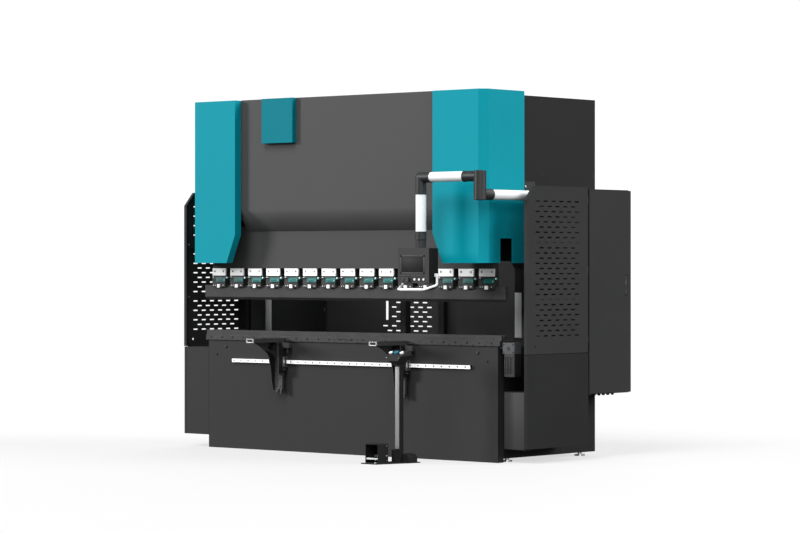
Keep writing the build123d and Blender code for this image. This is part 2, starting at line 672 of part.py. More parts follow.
with BuildPart() as pendant_elbows:
    # upper half of the swivel joint and the socket for the cross tube
    rod("Z", 2134.5, 2246, ARM_X, ARM_Y, 48)
    rod("X", 1555, ARM_X, ARM_Y, ARM_Z2, 41)
    rod("Z", 2134, 2191, ARM_X, ARM_Y, 20 + RUN, Mode.SUBTRACT)
    # knee over the drop tube
    rod("X", DROP_X, 1216, ARM_Y, ARM_Z2, 42)
    with Locations((DROP_X, ARM_Y, ARM_Z2)):
        Sphere(42)
    rod("Z", 2079, ARM_Z2, DROP_X, ARM_Y, 42)
    # coupling under the drop tube
    rod("Z", 1726, 1781, DROP_X, ARM_Y, 42)
    rod("Z", 1690, 1726, DROP_X, ARM_Y, 18)
save(pendant_elbows.part, "pendant_elbows")

with BuildPart() as pendant_tubes:
    rod("X", 1216, 1555, ARM_Y, ARM_Z2, TUBE_R)
    rod("Z", 1781, 2079, DROP_X, ARM_Y, TUBE_R + 2)
save(pendant_tubes.part, "pendant_tubes")

CON_X0, CON_X1, CON_Y0, CON_Y1, CON_Z0, CON_Z1 = 930.0, 1242.0, -498.0, -388.0, 1390.0, 1661.0
with BuildPart() as console_housing:
    block(CON_X0, CON_X1, CON_Y0, CON_Y1, CON_Z0, CON_Z1)
    fillet(console_housing.edges().filter_by(Axis.Y), 8)
    # swivel socket on top
    rod("Z", CON_Z1, 1725.5, DROP_X, ARM_Y, 40)
    rod("Z", 1688, 1727, DROP_X, ARM_Y, 18 + RUN, Mode.SUBTRACT)
    # recess of the screen
    block(968, 1187, CON_Y0 - 1, CON_Y0 + 4, 1473, 1592, Mode.SUBTRACT)
    # button holes in the control strip
    rod("Y", CON_Y0 - 1, CON_Y0 + 30, 1040, 1418, 10 + RUN, Mode.SUBTRACT)
    for button_x in (1100, 1145, 1190):
        rod("Y", CON_Y0 - 1, CON_Y0 + 30, button_x, 1418, 8 + RUN, Mode.SUBTRACT)
save(console_housing.part, "console_housing")

with BuildPart() as console_handle:
    with BuildLine() as handle_path:
        FilletPolyline(
            (914, -420, 1452), (914, -420, 1375), (957, -528, 1340), (1215, -528, 1340),
            (1258, -420, 1375), (1258, -420, 1452), radius=20,
        )
    with BuildSketch(Plane(origin=(914, -420, 1452), z_dir=(0, 0, -1))) as handle_round:
        Circle(9)
    sweep(handle_round.sketch, path=handle_path.line)
    block(905, CON_X0, -432, -408, 1440, 1464)
    block(CON_X1, 1267, -432, -408, 1440, 1464)
save(console_handle.part, "console_handle")

with BuildPart() as console_estop:
    rod("Y", CON_Y0 - 12, CON_Y0 + 22, 1040, 1418, 10)
    rod("Y", CON_Y0 - 24, CON_Y0 - 7, 1040, 1418, 17)
save(console_estop.part, "console_estop")

with BuildPart() as console_buttons:
    for button_x in (1100, 1145, 1190):
        rod("Y", CON_Y0 - 5, CON_Y0 + 22, button_x, 1418, 8)
save(console_buttons.part, "console_buttons")

# ---------------------------------------------------------------------------
# Foot station
# ---------------------------------------------------------------------------
with BuildPart() as station_stand:
    prism(Plane.XY, [(800, -785), (955, -785), (1075, -400), (880, -400)], 8)
    block(954, 997, -560, -510, 8, 760)
    block(935, 985, -580, -560, 8, 106)
    # cable entry hump behind the post
    prism(Plane.XZ.offset(420), [(975, 8), (1062, 8), (1060, 44), (1044, 66), (1015, 72), (975, 72)], 100)
save(station_stand.part, "station_stand")

STATION_TILT = (0.0, -46.0, 95.0)
with BuildPart() as station_head:
    prism(
        Plane.YZ.offset(880),
        [(-600, 790), (-600, 822), (-505, 868), (-485, 868), (-485, 760), (-565, 760)],
        165,
    )
    fillet(station_head.edges().filter_by(Axis.X).group_by(Axis.Z)[-1], 4)
    # tapered towards the post on both sides
    for wall_x, inner_x in ((879, 938), (1046, 987)):
        prism(Plane.XZ.offset(480), [(wall_x, 759), (inner_x, 759), (wall_x, 829)], 125, Mode.SUBTRACT)
    for button_x in (908, 963, 1018):
        with Locations(Plane(origin=(button_x, -552.5, 845), z_dir=STATION_TILT)):
            Cylinder(13 + RUN, 50, mode=Mode.SUBTRACT)
save(station_head.part, "station_head")

with BuildPart() as station_buttons:
    for button_x in (908, 1018):
        with Locations(Plane(origin=(button_x, -552.5, 845), z_dir=STATION_TILT).offset(-4)):
            Cylinder(13, 28)
        with Locations(Plane(origin=(button_x, -552.5, 845), z_dir=STATION_TILT).offset(11)):
            Cylinder(15, 5)
save(station_buttons.part, "station_buttons")

with BuildPart() as station_button_centre:
    with Locations(Plane(origin=(963, -552.5, 845), z_dir=STATION_TILT).offset(-4)):
        Cylinder(13, 28)
    with Locations(Plane(origin=(963, -552.5, 845), z_dir=STATION_TILT).offset(12)):
        Cylinder(20, 7)
save(station_button_centre.part, "station_button_centre")

with BuildPart() as pedal_hood:
    block(815, 945, -750, -630, 8, 153)
    block(819, 941, -751, -634, 12, 149, Mode.SUBTRACT)
    fillet(pedal_hood.edges().filter_by(Axis.Y).group_by(Axis.Z)[-1], 3)
    rod("X", 814, 946, -650, 60, 4 + RUN, Mode.SUBTRACT)
save(pedal_hood.part, "pedal_hood")

with BuildPart() as pedal_treadle:
    rod("X", 815, 945, -650, 60, 4)
    block(824, 936, -742, -650, 36, 46)
    block(824, 936, -656, -644, 36, 66)
    block(824, 936, -746, -740, 34, 48)
save(pedal_treadle.part, "pedal_treadle")
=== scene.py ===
"""Looks of the press brake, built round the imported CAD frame. Metres, X along the bed, +Y to the back, Z up."""

import json
import math
import random

import bmesh
import bpy
from mathutils import Matrix, Vector


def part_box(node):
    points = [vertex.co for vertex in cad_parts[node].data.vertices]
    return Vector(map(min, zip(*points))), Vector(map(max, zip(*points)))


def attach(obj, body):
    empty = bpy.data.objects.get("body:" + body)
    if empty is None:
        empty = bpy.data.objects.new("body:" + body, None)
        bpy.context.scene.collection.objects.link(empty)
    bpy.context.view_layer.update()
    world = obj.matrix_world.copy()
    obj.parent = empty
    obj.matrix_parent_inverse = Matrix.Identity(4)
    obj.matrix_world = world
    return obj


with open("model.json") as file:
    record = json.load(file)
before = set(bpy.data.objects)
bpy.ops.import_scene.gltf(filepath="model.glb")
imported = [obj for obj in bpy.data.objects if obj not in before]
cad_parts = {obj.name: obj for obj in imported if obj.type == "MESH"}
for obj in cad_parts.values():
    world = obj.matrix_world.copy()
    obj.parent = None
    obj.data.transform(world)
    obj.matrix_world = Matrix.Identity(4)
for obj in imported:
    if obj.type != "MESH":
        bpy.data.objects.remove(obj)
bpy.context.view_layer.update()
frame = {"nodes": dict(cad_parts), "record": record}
record = frame["record"]
nodes = frame["nodes"]
random.seed(7)
MM = 0.001

# ---------------------------------------------------------------------------
# Camera
# ---------------------------------------------------------------------------
cam_data = bpy.data.cameras.new("camera")
cam_data.lens = 132.47
cam_data.sensor_width = 36
cam_data.shift_y = -0.0049
cam_data.clip_start, cam_data.clip_end = 0.5, 300
cam = bpy.data.objects.new("camera", cam_data)
cam.location = (15.697, -17.837, 1.548)
cam.rotation_euler = (math.pi / 2, 0, math.radians(40.379))
bpy.context.collection.objects.link(cam)
bpy.context.scene.camera = cam


# ---------------------------------------------------------------------------
# Materials: one node graph per finish, all of it in object space
# ---------------------------------------------------------------------------
def finish(name, base, rough, metallic=0.0, vary=0.08, hue=0.0, cloud=2.5, grain=700.0, grain_depth=0.00004,
           stretch=(1, 1, 1), rough_vary=0.06, specular=0.5, coat=0.0, coat_rough=0.2, scratch=0.0, speck=0.0):
    mat = bpy.data.materials.new(name)
    mat.use_nodes = True
    tree = mat.node_tree
    n, link = tree.nodes, tree.links.new
    shader = n["Principled BSDF"]
    shader.inputs["Metallic"].default_value = metallic
    shader.inputs["Specular IOR Level"].default_value = specular
    shader.inputs["Coat Weight"].default_value = coat
    shader.inputs["Coat Roughness"].default_value = coat_rough
    where = n.new("ShaderNodeTexCoord")
    place = n.new("ShaderNodeMapping")
    place.inputs["Scale"].default_value = stretch
    link(where.outputs["Object"], place.inputs["Vector"])

    # slow clouds in the colour
    clouds = n.new("ShaderNodeTexNoise")
    clouds.inputs["Scale"].default_value = cloud
    clouds.inputs["Detail"].default_value = 5
    clouds.inputs["Roughness"].default_value = 0.6
    link(where.outputs["Object"], clouds.inputs["Vector"])
    ramp = n.new("ShaderNodeValToRGB")
    low = [max(0.0, c * (1 - vary) - hue * k) for c, k in zip(base, (0.0, 0.3, 0.6))]
    high = [min(1.0, c * (1 + vary) + hue * k) for c, k in zip(base, (1.0, 0.5, 0.0))]
    ramp.color_ramp.elements[0].position = 0.3
    ramp.color_ramp.elements[0].color = (*low, 1)
    ramp.color_ramp.elements[1].position = 0.7
    ramp.color_ramp.elements[1].color = (*high, 1)
    link(clouds.outputs["Fac"], ramp.inputs["Fac"])
    colour = ramp.outputs["Color"]

    # fine grain: texture of the powder coat, the grinding marks or the moulding
    fine = n.new("ShaderNodeTexNoise")
    fine.inputs["Scale"].default_value = grain
    fine.inputs["Detail"].default_value = 3
    link(place.outputs["Vector"], fine.inputs["Vector"])
    if speck:
        cells = n.new("ShaderNodeTexVoronoi")
        cells.inputs["Scale"].default_value = grain * 0.6
        link(place.outputs["Vector"], cells.inputs["Vector"])
        spread = n.new("ShaderNodeMapRange")
        spread.inputs["From Min"].default_value = 0.0
        spread.inputs["From Max"].default_value = 0.5
        spread.inputs["To Min"].default_value = 1.0 + speck
        spread.inputs["To Max"].default_value = 1.0 - speck
        link(cells.outputs["Distance"], spread.inputs["Value"])
        tint = n.new("ShaderNodeMix")
        tint.data_type = "RGBA"
        tint.blend_type = "MULTIPLY"
        tint.inputs["Factor"].default_value = 1.0
        link(colour, tint.inputs["A"])
        link(spread.outputs["Result"], tint.inputs["B"])
        colour = tint.outputs["Result"]
    if scratch:
        marks = n.new("ShaderNodeTexNoise")
        marks.inputs["Scale"].default_value = 9.0
        marks.inputs["Detail"].default_value = 8
        marks.inputs["Distortion"].default_value = 1.2
        long_way = n.new("ShaderNodeMapping")
        long_way.inputs["Scale"].default_value = (1.0, 14.0, 22.0)
        link(where.outputs["Object"], long_way.inputs["Vector"])
        link(long_way.outputs["Vector"], marks.inputs["Vector"])
        pick = n.new("ShaderNodeMapRange")
        pick.inputs["From Min"].default_value = 0.60
        pick.inputs["From Max"].default_value = 0.72
        pick.inputs["To Min"].default_value = 0.0
        pick.inputs["To Max"].default_value = scratch
        link(marks.outputs["Fac"], pick.inputs["Value"])
        worn = n.new("ShaderNodeMix")
        worn.data_type = "RGBA"
        link(pick.outputs["Result"], worn.inputs["Factor"])
        link(colour, worn.inputs["A"])
        worn.inputs["B"].default_value = (*[min(1.0, c * 2.2 + 0.03) for c in base], 1)
        colour = worn.outputs["Result"]
    link(colour, shader.inputs["Base Color"])

    # roughness follows the clouds and the grain
    both = n.new("ShaderNodeMath")
    both.operation = "ADD"
    link(clouds.outputs["Fac"], both.inputs[0])
    link(fine.outputs["Fac"], both.inputs[1])
    sweep = n.new("ShaderNodeMapRange")
    sweep.inputs["From Min"].default_value = 0.6
    sweep.inputs["From Max"].default_value = 1.4
    sweep.inputs["To Min"].default_value = max(0.02, rough - rough_vary)
    sweep.inputs["To Max"].default_value = min(1.0, rough + rough_vary)
    link(both.outputs["Value"], sweep.inputs["Value"])
    link(sweep.outputs["Result"], shader.inputs["Roughness"])

    bump = n.new("ShaderNodeBump")
    bump.inputs["Strength"].default_value = 0.6
    bump.inputs["Distance"].default_value = grain_depth
    link(fine.outputs["Fac"], bump.inputs["Height"])
    link(bump.outputs["Normal"], shader.inputs["Normal"])
    return mat


M = {
    "dark_paint": finish("dark_paint_look", (0.0088, 0.0090, 0.0093), 0.55, vary=0.07, grain=900, grain_depth=0.00008,
                         specular=0.14, speck=0.06),
    "grey_paint": finish("grey_paint_look", (0.0200, 0.0201, 0.0203), 0.54, vary=0.06, grain=900, grain_depth=0.00008,
                         specular=0.15, speck=0.06),
    "charcoal_paint": finish("charcoal_paint_look", (0.0404, 0.0405, 0.0409), 0.5, vary=0.05, grain=900,
                             grain_depth=0.00008, specular=0.16, speck=0.05),
    "bright_plate": finish("bright_plate_look", (0.84, 0.84, 0.84), 0.38, metallic=0.15, vary=0.05, cloud=20,
                           grain=420, stretch=(1, 12, 12), grain_depth=0.00003, rough_vary=0.08),
    "teal_paint": finish("teal_paint_look", (0.0008, 0.210, 0.264), 0.5, vary=0.03, grain=450, grain_depth=0.00006,
                         specular=0.07),
    "teal_deep": finish("teal_deep_look", (0.0008, 0.140, 0.178), 0.44, vary=0.03, grain=450, grain_depth=0.00005,
                        specular=0.05),
    "white_paint": finish("white_paint_look", (0.67, 0.695, 0.70), 0.3, vary=0.02, grain=500, grain_depth=0.00003,
                          specular=0.5, coat=0.1),
    "ground_steel": finish("ground_steel_look", (0.28, 0.285, 0.295), 0.34, metallic=0.9, vary=0.08, grain=300,
                           stretch=(1.5, 40, 40), grain_depth=0.00002, rough_vary=0.1),
    "blackened_steel": finish("blackened_steel_look", (0.029, 0.0292, 0.0297), 0.44, metallic=0.15, vary=0.16,
                              hue=0.002, cloud=9, grain=420, stretch=(0.6, 6, 6), grain_depth=0.00004,
                              specular=0.22, scratch=0.35),
    "chrome_rod": finish("chrome_rod_look", (0.78, 0.79, 0.81), 0.09, metallic=1.0, vary=0.03, grain=300,
                         stretch=(30, 30, 1), grain_depth=0.000004, rough_vary=0.04),
    "zinc_steel": finish("zinc_steel_look", (0.58, 0.59, 0.60), 0.33, metallic=0.95, vary=0.12, cloud=30, grain=500,
                         grain_depth=0.00002, speck=0.12),
    "aluminium": finish("aluminium_look", (0.66, 0.67, 0.69), 0.36, metallic=1.0, vary=0.05, grain=420,
                        stretch=(1, 14, 14), grain_depth=0.00003, rough_vary=0.08),
    "cast_grey": finish("cast_grey_look", (0.060, 0.062, 0.066), 0.62, vary=0.14, cloud=12, grain=260,
                        grain_depth=0.00035, specular=0.3, speck=0.1),
    "black_plastic": finish("black_plastic_look", (0.013, 0.0135, 0.0145), 0.46, vary=0.1, cloud=8, grain=1500,
                            grain_depth=0.00007, specular=0.4, speck=0.12),
    "red_plastic": finish("red_plastic_look", (0.55, 0.012, 0.010), 0.3, vary=0.05, cloud=20, grain=900,
                          grain_depth=0.00002, coat=0.2),
    "white_plastic": finish("white_plastic_look", (0.78, 0.79, 0.79), 0.38, vary=0.03, cloud=20, grain=900,
                            grain_depth=0.00003),
    "blue_plastic": finish("blue_plastic_look", (0.010, 0.125, 0.215), 0.4, vary=0.06, cloud=20, grain=900,
                           grain_depth=0.00002, coat=0.2),
    "teal_plastic": finish("teal_plastic_look", (0.002, 0.118, 0.110), 0.4, vary=0.05, cloud=20, grain=900,
                           grain_depth=0.00003, coat=0.1),
    "screen_glass": finish("screen_glass_look", (0.012, 0.012, 0.0125), 0.5, vary=0.15, cloud=14, grain=60,
                           grain_depth=0.000002, specular=0.12, rough_vary=0.03),
    # near-black for painted shade on the support arm blades
    "painted_shade_black": finish("painted_shade_black_look", (0.010, 0.0102, 0.0106), 0.5, vary=0.08, cloud=10, grain=900,
                         grain_depth=0.00008, specular=0.25, speck=0.08),
    "console_grey": finish("console_grey_look", (0.029, 0.0291, 0.0294), 0.5, vary=0.05, grain=900,
                           grain_depth=0.00008, specular=0.16, speck=0.05),
    "panel_grey": finish("panel_grey_look", (0.0465, 0.0466, 0.047), 0.5, vary=0.05, grain=900,
                         grain_depth=0.00008, specular=0.16, speck=0.05),
    "guard_grey": finish("guard_grey_look", (0.0185, 0.0187, 0.0191), 0.55, vary=0.07, grain=900,
                         grain_depth=0.00008, specular=0.14, speck=0.06),
    "arm_grey": finish("arm_grey_look", (0.050, 0.0502, 0.0508), 0.5, vary=0.08, cloud=8, grain=800,
                       grain_depth=0.0001, specular=0.18, speck=0.06),
    "milled_edge": finish("milled_edge_look", (0.28, 0.283, 0.29), 0.45, vary=0.08, cloud=10, grain=400,
                          stretch=(1, 1, 14), grain_depth=0.00003, specular=0.3),
    "post_grey": finish("post_grey_look", (0.175, 0.176, 0.18), 0.4, vary=0.05, grain=500, stretch=(14, 14, 1),
                        grain_depth=0.00003, specular=0.3),
    # near-black: painted shade in bores, slots and on the console sides, and the dark sheet joints
    "painted_shade_and_joint_dark": finish("painted_shade_and_joint_dark_look", (0.006, 0.006, 0.0065), 0.8, vary=0.2, cloud=20, grain=700,
                          grain_depth=0.0001, specular=0.1),
}
SLOT_OF = {s["node"]: s["material_slot"] for s in record["subparts"]}


def dress(obj, key):
    obj.data.materials.clear()
    obj.data.materials.append(M[key])


LOOK_OF = {"badge_box": "teal_deep", "side_cover_left": "grey_paint", "console_housing": "console_grey",
           "rear_door_left": "grey_paint", "rear_door_right": "grey_paint", "front_panel": "panel_grey",
           "side_guard_left": "guard_grey", "side_guard_right": "guard_grey", "cabinet_door": "guard_grey",
           "cabinet_shell": "guard_grey", "support_arm_left": "arm_grey", "support_arm_right": "arm_grey",
           "station_head": "grey_paint"}
for name, obj in nodes.items():
    key = LOOK_OF.get(name, SLOT_OF[name])
    if len(obj.material_slots) == 0:
        obj.data.materials.append(M[key])
    for s in obj.material_slots:
        s.link = "OBJECT"
        s.material = M[key]


def soften(name, width, segments=2, angle=40):
    """Rolled or broken edges on a CAD node: a modifier only, the mesh stays as packed."""
    obj = nodes[name]
    weld = obj.modifiers.new("weld", "WELD")
    weld.merge_threshold = 0.00002
    bevel = obj.modifiers.new("broken_edges", "BEVEL")
    bevel.width = width * MM
    bevel.segments = segments
    bevel.limit_method = "ANGLE"
    bevel.angle_limit = math.radians(angle)
    bevel.use_clamp_overlap = True
    bevel.harden_normals = False
    smooth = obj.modifiers.new("shading", "WEIGHTED_NORMAL")
    smooth.keep_sharp = False
    smooth.weight = 80


for name, width in {
    "front_panel": 1.2, "badge_box": 2.5, "cylinder_cover_right": 1.6, "cylinder_cover_left": 1.6,
    "bed_beam": 2.0, "crowning_base": 1.5, "die_table": 1.2, "ram_beam": 2.0, "housing_right": 2.2,
    "housing_left": 2.2, "cabinet_door": 2.0, "support_arm_left": 1.5, "support_arm_right": 1.5,
    "clamp_bodies": 1.2, "clamp_plates": 0.8, "clamp_levers": 1.2, "console_housing": 2.0,
    "station_head": 1.5, "station_stand": 1.0, "pedal_treadle": 0.8, "cabinet_latch": 0.8,
    "levelling_feet": 1.2, "backgauge_beam": 1.2, "backgauge_rails": 1.2, "gauge_finger_left": 1.0,
    "gauge_finger_right": 1.0, "guard_posts": 1.0, "crowning_gearbox": 2.0, "oil_tank": 3.0,
    "cylinder_blocks": 2.5, "pendant_bracket": 1.5, "console_estop": 2.5, "console_buttons": 1.0,
    "station_buttons": 1.5, "station_button_centre": 1.5, "ram_guide_blocks": 1.5,
}.items():
    soften(name, width)


# ---------------------------------------------------------------------------
# Mesh building, in millimetres
# ---------------------------------------------------------------------------
class Shape:
    """Collects parts of one piece; finished once, as one mesh."""

    def __init__(self):
        self.v, self.f = [], []

    def put(self, part, at=None):
        verts, faces = part
        at = at or Matrix.Identity(4)
        start = len(self.v)
        self.v += [at @ Vector(p) for p in verts]
        self.f += [[start + i for i in face] for face in faces]
        return self

    def done(self, name, body, look, slot=None, bevel=0.0, smooth=35):
        mesh = bpy.data.meshes.new(name)
        mesh.from_pydata([[c * MM for c in p] for p in self.v], [], self.f)
        mesh.update()
        bm = bmesh.new()
        bm.from_mesh(mesh)
        bmesh.ops.recalc_face_normals(bm, faces=bm.faces)
        for face in bm.faces:
            face.smooth = True
        for e in bm.edges:
            if len(e.link_faces) == 2 and e.calc_face_angle(0) > math.radians(smooth):
                e.smooth = False
        bm.to_mesh(mesh)
        bm.free()
        obj = bpy.data.objects.new(name, mesh)
        bpy.context.collection.objects.link(obj)
        dress(obj, look)
        if bevel:
            mod = obj.modifiers.new("broken_edges", "BEVEL")
            mod.width = bevel * MM
            mod.segments = 2
            mod.limit_method = "ANGLE"
            mod.angle_limit = math.radians(35)
            obj.modifiers.new("shading", "WEIGHTED_NORMAL").weight = 80
        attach(obj, body)
        return obj


def hexagon(af):
    """Radius of a hexagon, across flats af, at an angle."""
    return lambda t: af / 2 / math.cos((t % (math.pi / 3)) - math.pi / 6)


def lathe(rings, n=24):
    """Closed turned form about +Z. A ring is (radius or radius function, height); radius 0 closes an end."""
    verts, faces, last = [], [], None
    for r, z in rings:
        if r == 0:
            ring = [len(verts)]
            verts.append((0, 0, z))
        else:
            ring = list(range(len(verts), len(verts) + n))
            for k in range(n):
                t = 2 * math.pi * k / n
                q = r(t) if callable(r) else r
                verts.append((q * math.cos(t), q * math.sin(t), z))
        if last is not None:
            for k in range(n):
                a, b = last[k % len(last)], last[(k + 1) % len(last)]
                c, d = ring[(k + 1) % len(ring)], ring[k % len(ring)]
                face = [i for j, i in enumerate((a, b, c, d)) if i not in (a, b, c, d)[:j]]
                if len(face) > 2:
                    faces.append(face)
        last = ring
    return verts, faces


def socket_screw(r, h, key=None, n=18):
    key = key or r * 1.0
    return lathe([(0, 0), (r, 0), (r, h * 0.86), (r * 0.9, h), (hexagon(key), h), (hexagon(key), h * 0.4), (0, h * 0.34)], n)


def button_screw(r, h, key=None, n=18):
    key = key or r * 0.8
    return lathe([(0, 0), (r, 0), (r * 0.96, h * 0.35), (r * 0.8, h * 0.75), (r * 0.55, h), (hexagon(key), h),
                  (hexagon(key), h * 0.4), (0, h * 0.35)], n)


def hex_bolt(af, h, washer=1.25, t=None, n=24):
    t = t if t is not None else h * 0.22
    return lathe([(0, 0), (af / 2 * washer, 0), (af / 2 * washer, t), (af * 0.48, t), (hexagon(af), t + 0.2),
                  (hexagon(af), t + h * 0.72), (af * 0.47, t + h * 0.9), (af * 0.44, t + h * 0.93), (0, t + h * 0.93)], n)


def slab(x0, x1, y0, y1, z0, z1, bevel=0.0, segments=2):
    bm = bmesh.new()
    bmesh.ops.create_cube(bm, size=1)
    for v in bm.verts:
        v.co = Vector(((x0 + x1) / 2 + v.co.x * (x1 - x0), (y0 + y1) / 2 + v.co.y * (y1 - y0),
                       (z0 + z1) / 2 + v.co.z * (z1 - z0)))
    if bevel:
        bmesh.ops.bevel(bm, geom=list(bm.edges), offset=bevel, segments=segments, profile=0.5, affect="EDGES",
                        clamp_overlap=True)
    bm.verts.index_update()
    out = [tuple(v.co) for v in bm.verts], [[v.index for v in f.verts] for f in bm.faces]
    bm.free()
    return out


def prism(points, a, b, axis="X"):
    """A flat outline drawn out along an axis. Points are in the other two axes, in order."""
    def at(p, q):
        return {"X": (q, p[0], p[1]), "Y": (p[0], q, p[1]), "Z": (p[0], p[1], q)}[axis]
    n = len(points)
    verts = [at(p, a) for p in points] + [at(p, b) for p in points]
    faces = [list(range(n)), list(range(2 * n - 1, n - 1, -1))]
    faces += [[k, (k + 1) % n, n + (k + 1) % n, n + k] for k in range(n)]
    return verts, faces


def pipe(points, r, n=14, bend=None):
    """Round bar along a path whose corners are rounded to the bend radius."""
    pts = [Vector(p) for p in points]
    path = [pts[0]]
    bend = bend or r * 2.5
    for a, b, c in zip(pts, pts[1:], pts[2:]):
        u, w = (a - b).normalized(), (c - b).normalized()
        cut = min(bend, (a - b).length * 0.49, (c - b).length * 0.49)
        s, e = b + u * cut, b + w * cut
        for k in range(7):
            t = k / 6
            path.append(s * (1 - t) ** 2 + b * 2 * t * (1 - t) + e * t * t)
    path.append(pts[-1])
    verts, faces, side = [], [], None
    for i, p in enumerate(path):
        d = (path[min(i + 1, len(path) - 1)] - path[max(i - 1, 0)]).normalized()
        if side is None:
            side = d.orthogonal().normalized()
        side = (side - d * side.dot(d)).normalized()
        up = d.cross(side)
        for k in range(n):
            t = 2 * math.pi * k / n
            verts.append(tuple(p + side * r * math.cos(t) + up * r * math.sin(t)))
    m = len(path)
    for i in range(m - 1):
        for k in range(n):
            faces.append([i * n + k, i * n + (k + 1) % n, (i + 1) * n + (k + 1) % n, (i + 1) * n + k])
    faces.append(list(range(n)))
    faces.append(list(range(m * n - 1, (m - 1) * n - 1, -1)))
    return verts, faces


def face_to(axis, x, y, z):
    """Place for a part whose own +Z should point along an axis."""
    turn = {
        "+Z": Matrix.Identity(4), "-Z": Matrix.Rotation(math.pi, 4, "X"),
        "-Y": Matrix.Rotation(math.pi / 2, 4, "X"), "+Y": Matrix.Rotation(-math.pi / 2, 4, "X"),
        "+X": Matrix.Rotation(math.pi / 2, 4, "Y"), "-X": Matrix.Rotation(-math.pi / 2, 4, "Y"),
    }[axis]
    return Matrix.Translation((x, y, z)) @ turn


def edges_of(node):
    """Box of a CAD node in millimetres: x0, x1, y0, y1, z0, z1."""
    lo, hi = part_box(node)
    return [round(c * 1000, 2) for pair in zip(lo, hi) for c in pair]


def row(part, axis, spots):
    s = Shape()
    for x, y, z in spots:
        s.put(part, face_to(axis, x, y, z))
    return s


# ---------------------------------------------------------------------------
# Ram: clamp screws, jaw screws, knobs
# ---------------------------------------------------------------------------
plate = edges_of("clamp_plates")
jaw = edges_of("clamp_bodies")
half = 75.0
first = jaw[0] + half
pitch = (jaw[1] - jaw[0] - 2 * half) / 14
CLAMPS = [first + pitch * k for k in range(15)]
FRONT = -32.0
row(socket_screw(7.6, 6.5), "-Y", [(c + s, FRONT + 7.6, 1475) for c in CLAMPS for s in (-49, 49)]).done(
    "clamp_plate_screws", "ram", "blackened_steel", bevel=0.3)
row(button_screw(3.4, 1.6), "-Y", [(c + s, FRONT, 1488) for c in CLAMPS for s in (-66, 66)]).done(
    "clamp_plate_pins", "ram", "zinc_steel")
row(socket_screw(5.2, 3.2), "-Y", [(c + s, jaw[2], 1358) for c in CLAMPS for s in (-58, -36, 52)]).done(
    "clamp_jaw_screws", "ram", "zinc_steel", bevel=0.2)
row(lathe([(0, 0), (8.2, 0), (8.2, 1.2), (6.6, 2.6), (3.2, 3.0), (2.6, 2.2), (0, 2.2)], 20), "-Y",
    [(c - 62, jaw[2], 1424) for c in CLAMPS]).done("clamp_index_discs", "ram", "white_plastic", bevel=0.2)

lever = edges_of("clamp_levers")
cap = Shape()
for c in CLAMPS:
    cap.put(lathe([(0, -1.5), (6.6, -1.5), (6.6, 0.6), (5.6, 1.6), (3.0, 2.0), (0, 1.7)], 22), face_to("-Y", c + 108, lever[2], 1423))
cap.done("clamp_knob_caps", "clamp_release", "white_plastic", bevel=0.2)
grip = Shape()
for c in CLAMPS:
    for k in range(6):
        x = c + 2 + k * 11
        grip.put(slab(x, x + 5, -51.6, -49.8, 1391, 1416, 0.7))
grip.done("clamp_lever_grips", "clamp_release", "teal_plastic")
sleeve = Shape()
for c in CLAMPS[:-1]:
    sleeve.put(lathe([(3.1, 0), (4.4, 0), (4.4, 68), (3.1, 68), (3.1, 0)], 18), face_to("+X", c + 118, -42, 1421.5))
sleeve.done("clamp_rod_sleeves", "clamp_release", "black_plastic")
pivot = Shape()
for c in CLAMPS:
    pivot.put(button_screw(5.0, 2.2), face_to("-Y", c + 76, -50, 1403.5))
pivot.done("clamp_lever_screws", "clamp_release", "zinc_steel")

# ---------------------------------------------------------------------------
# Bed: die table bolts, adjusters, die screws, rail screws, rail end stops, plate bolts
# ---------------------------------------------------------------------------
table = edges_of("die_table")
spots = [(x, table[2], 926) for x in range(-1508, 1510, 120)]
row(socket_screw(7.0, 5.0), "-Y", spots).done("die_table_screws", "frame", "blackened_steel", bevel=0.3)
spots = [(x, table[2], 910) for x in range(-1448, 1450, 120)]
row(socket_screw(4.5, 3.0), "-Y", spots).done("die_table_grub_screws", "frame", "blackened_steel")
# crowning adjusters and their marks in near-black, darker than their blackened steel: painted shade in the recesses
s = Shape()
for x in (-183, -137, 120, 170):
    s.put(lathe([(0, -3), (4.6, -3), (4.6, 0.4), (3.4, 0.5), (hexagon(4.4), 0.5), (hexagon(4.4), -1.4), (0, -1.5)], 18), face_to("-Y", x, table[2], 928))
for k in range(12):
    s.put(slab(-95 + 15.4 * k - 2.4, -95 + 15.4 * k + 2.4, table[2] - 0.5, table[2] + 1, 920, 935, 0.5))
s.done("crowning_adjusters", "frame", "painted_shade_and_joint_dark", slot="blackened_steel")
die = edges_of("lower_die")
row(socket_screw(5.5, 1.6), "-Y", [(x, die[2] + 0.4, 958) for x in range(-1500, 1501, 100)]).done(
    "lower_die_screws", "frame", "blackened_steel")
row(hex_bolt(22, 9), "-Y", [(x, -35, 848) for x in (-1350, 1350)]).done("crowning_base_bolts", "frame", "blackened_steel", bevel=0.4)

rail = edges_of("front_rail")
# counterbored rail screws drawn near-black, darker than their blackened steel: painted shade in the bores
row(lathe([(0, -10), (6.8, -10), (6.9, -1.0), (6.4, -0.6), (hexagon(5), -0.6), (hexagon(5), -6), (0, -6.2)], 18), "-Y",
    [(x, rail[2], 734) for x in range(-1240, 1241, 80)]).done("rail_screws", "frame", "painted_shade_and_joint_dark", slot="blackened_steel")
s = Shape()
for x in (rail[0], rail[1] - 5):
    s.put(slab(x, x + 5, rail[2] - 0.6, -35, 717.5, 750.5, 0.8))
s.done("rail_end_stops", "frame", "black_plastic")


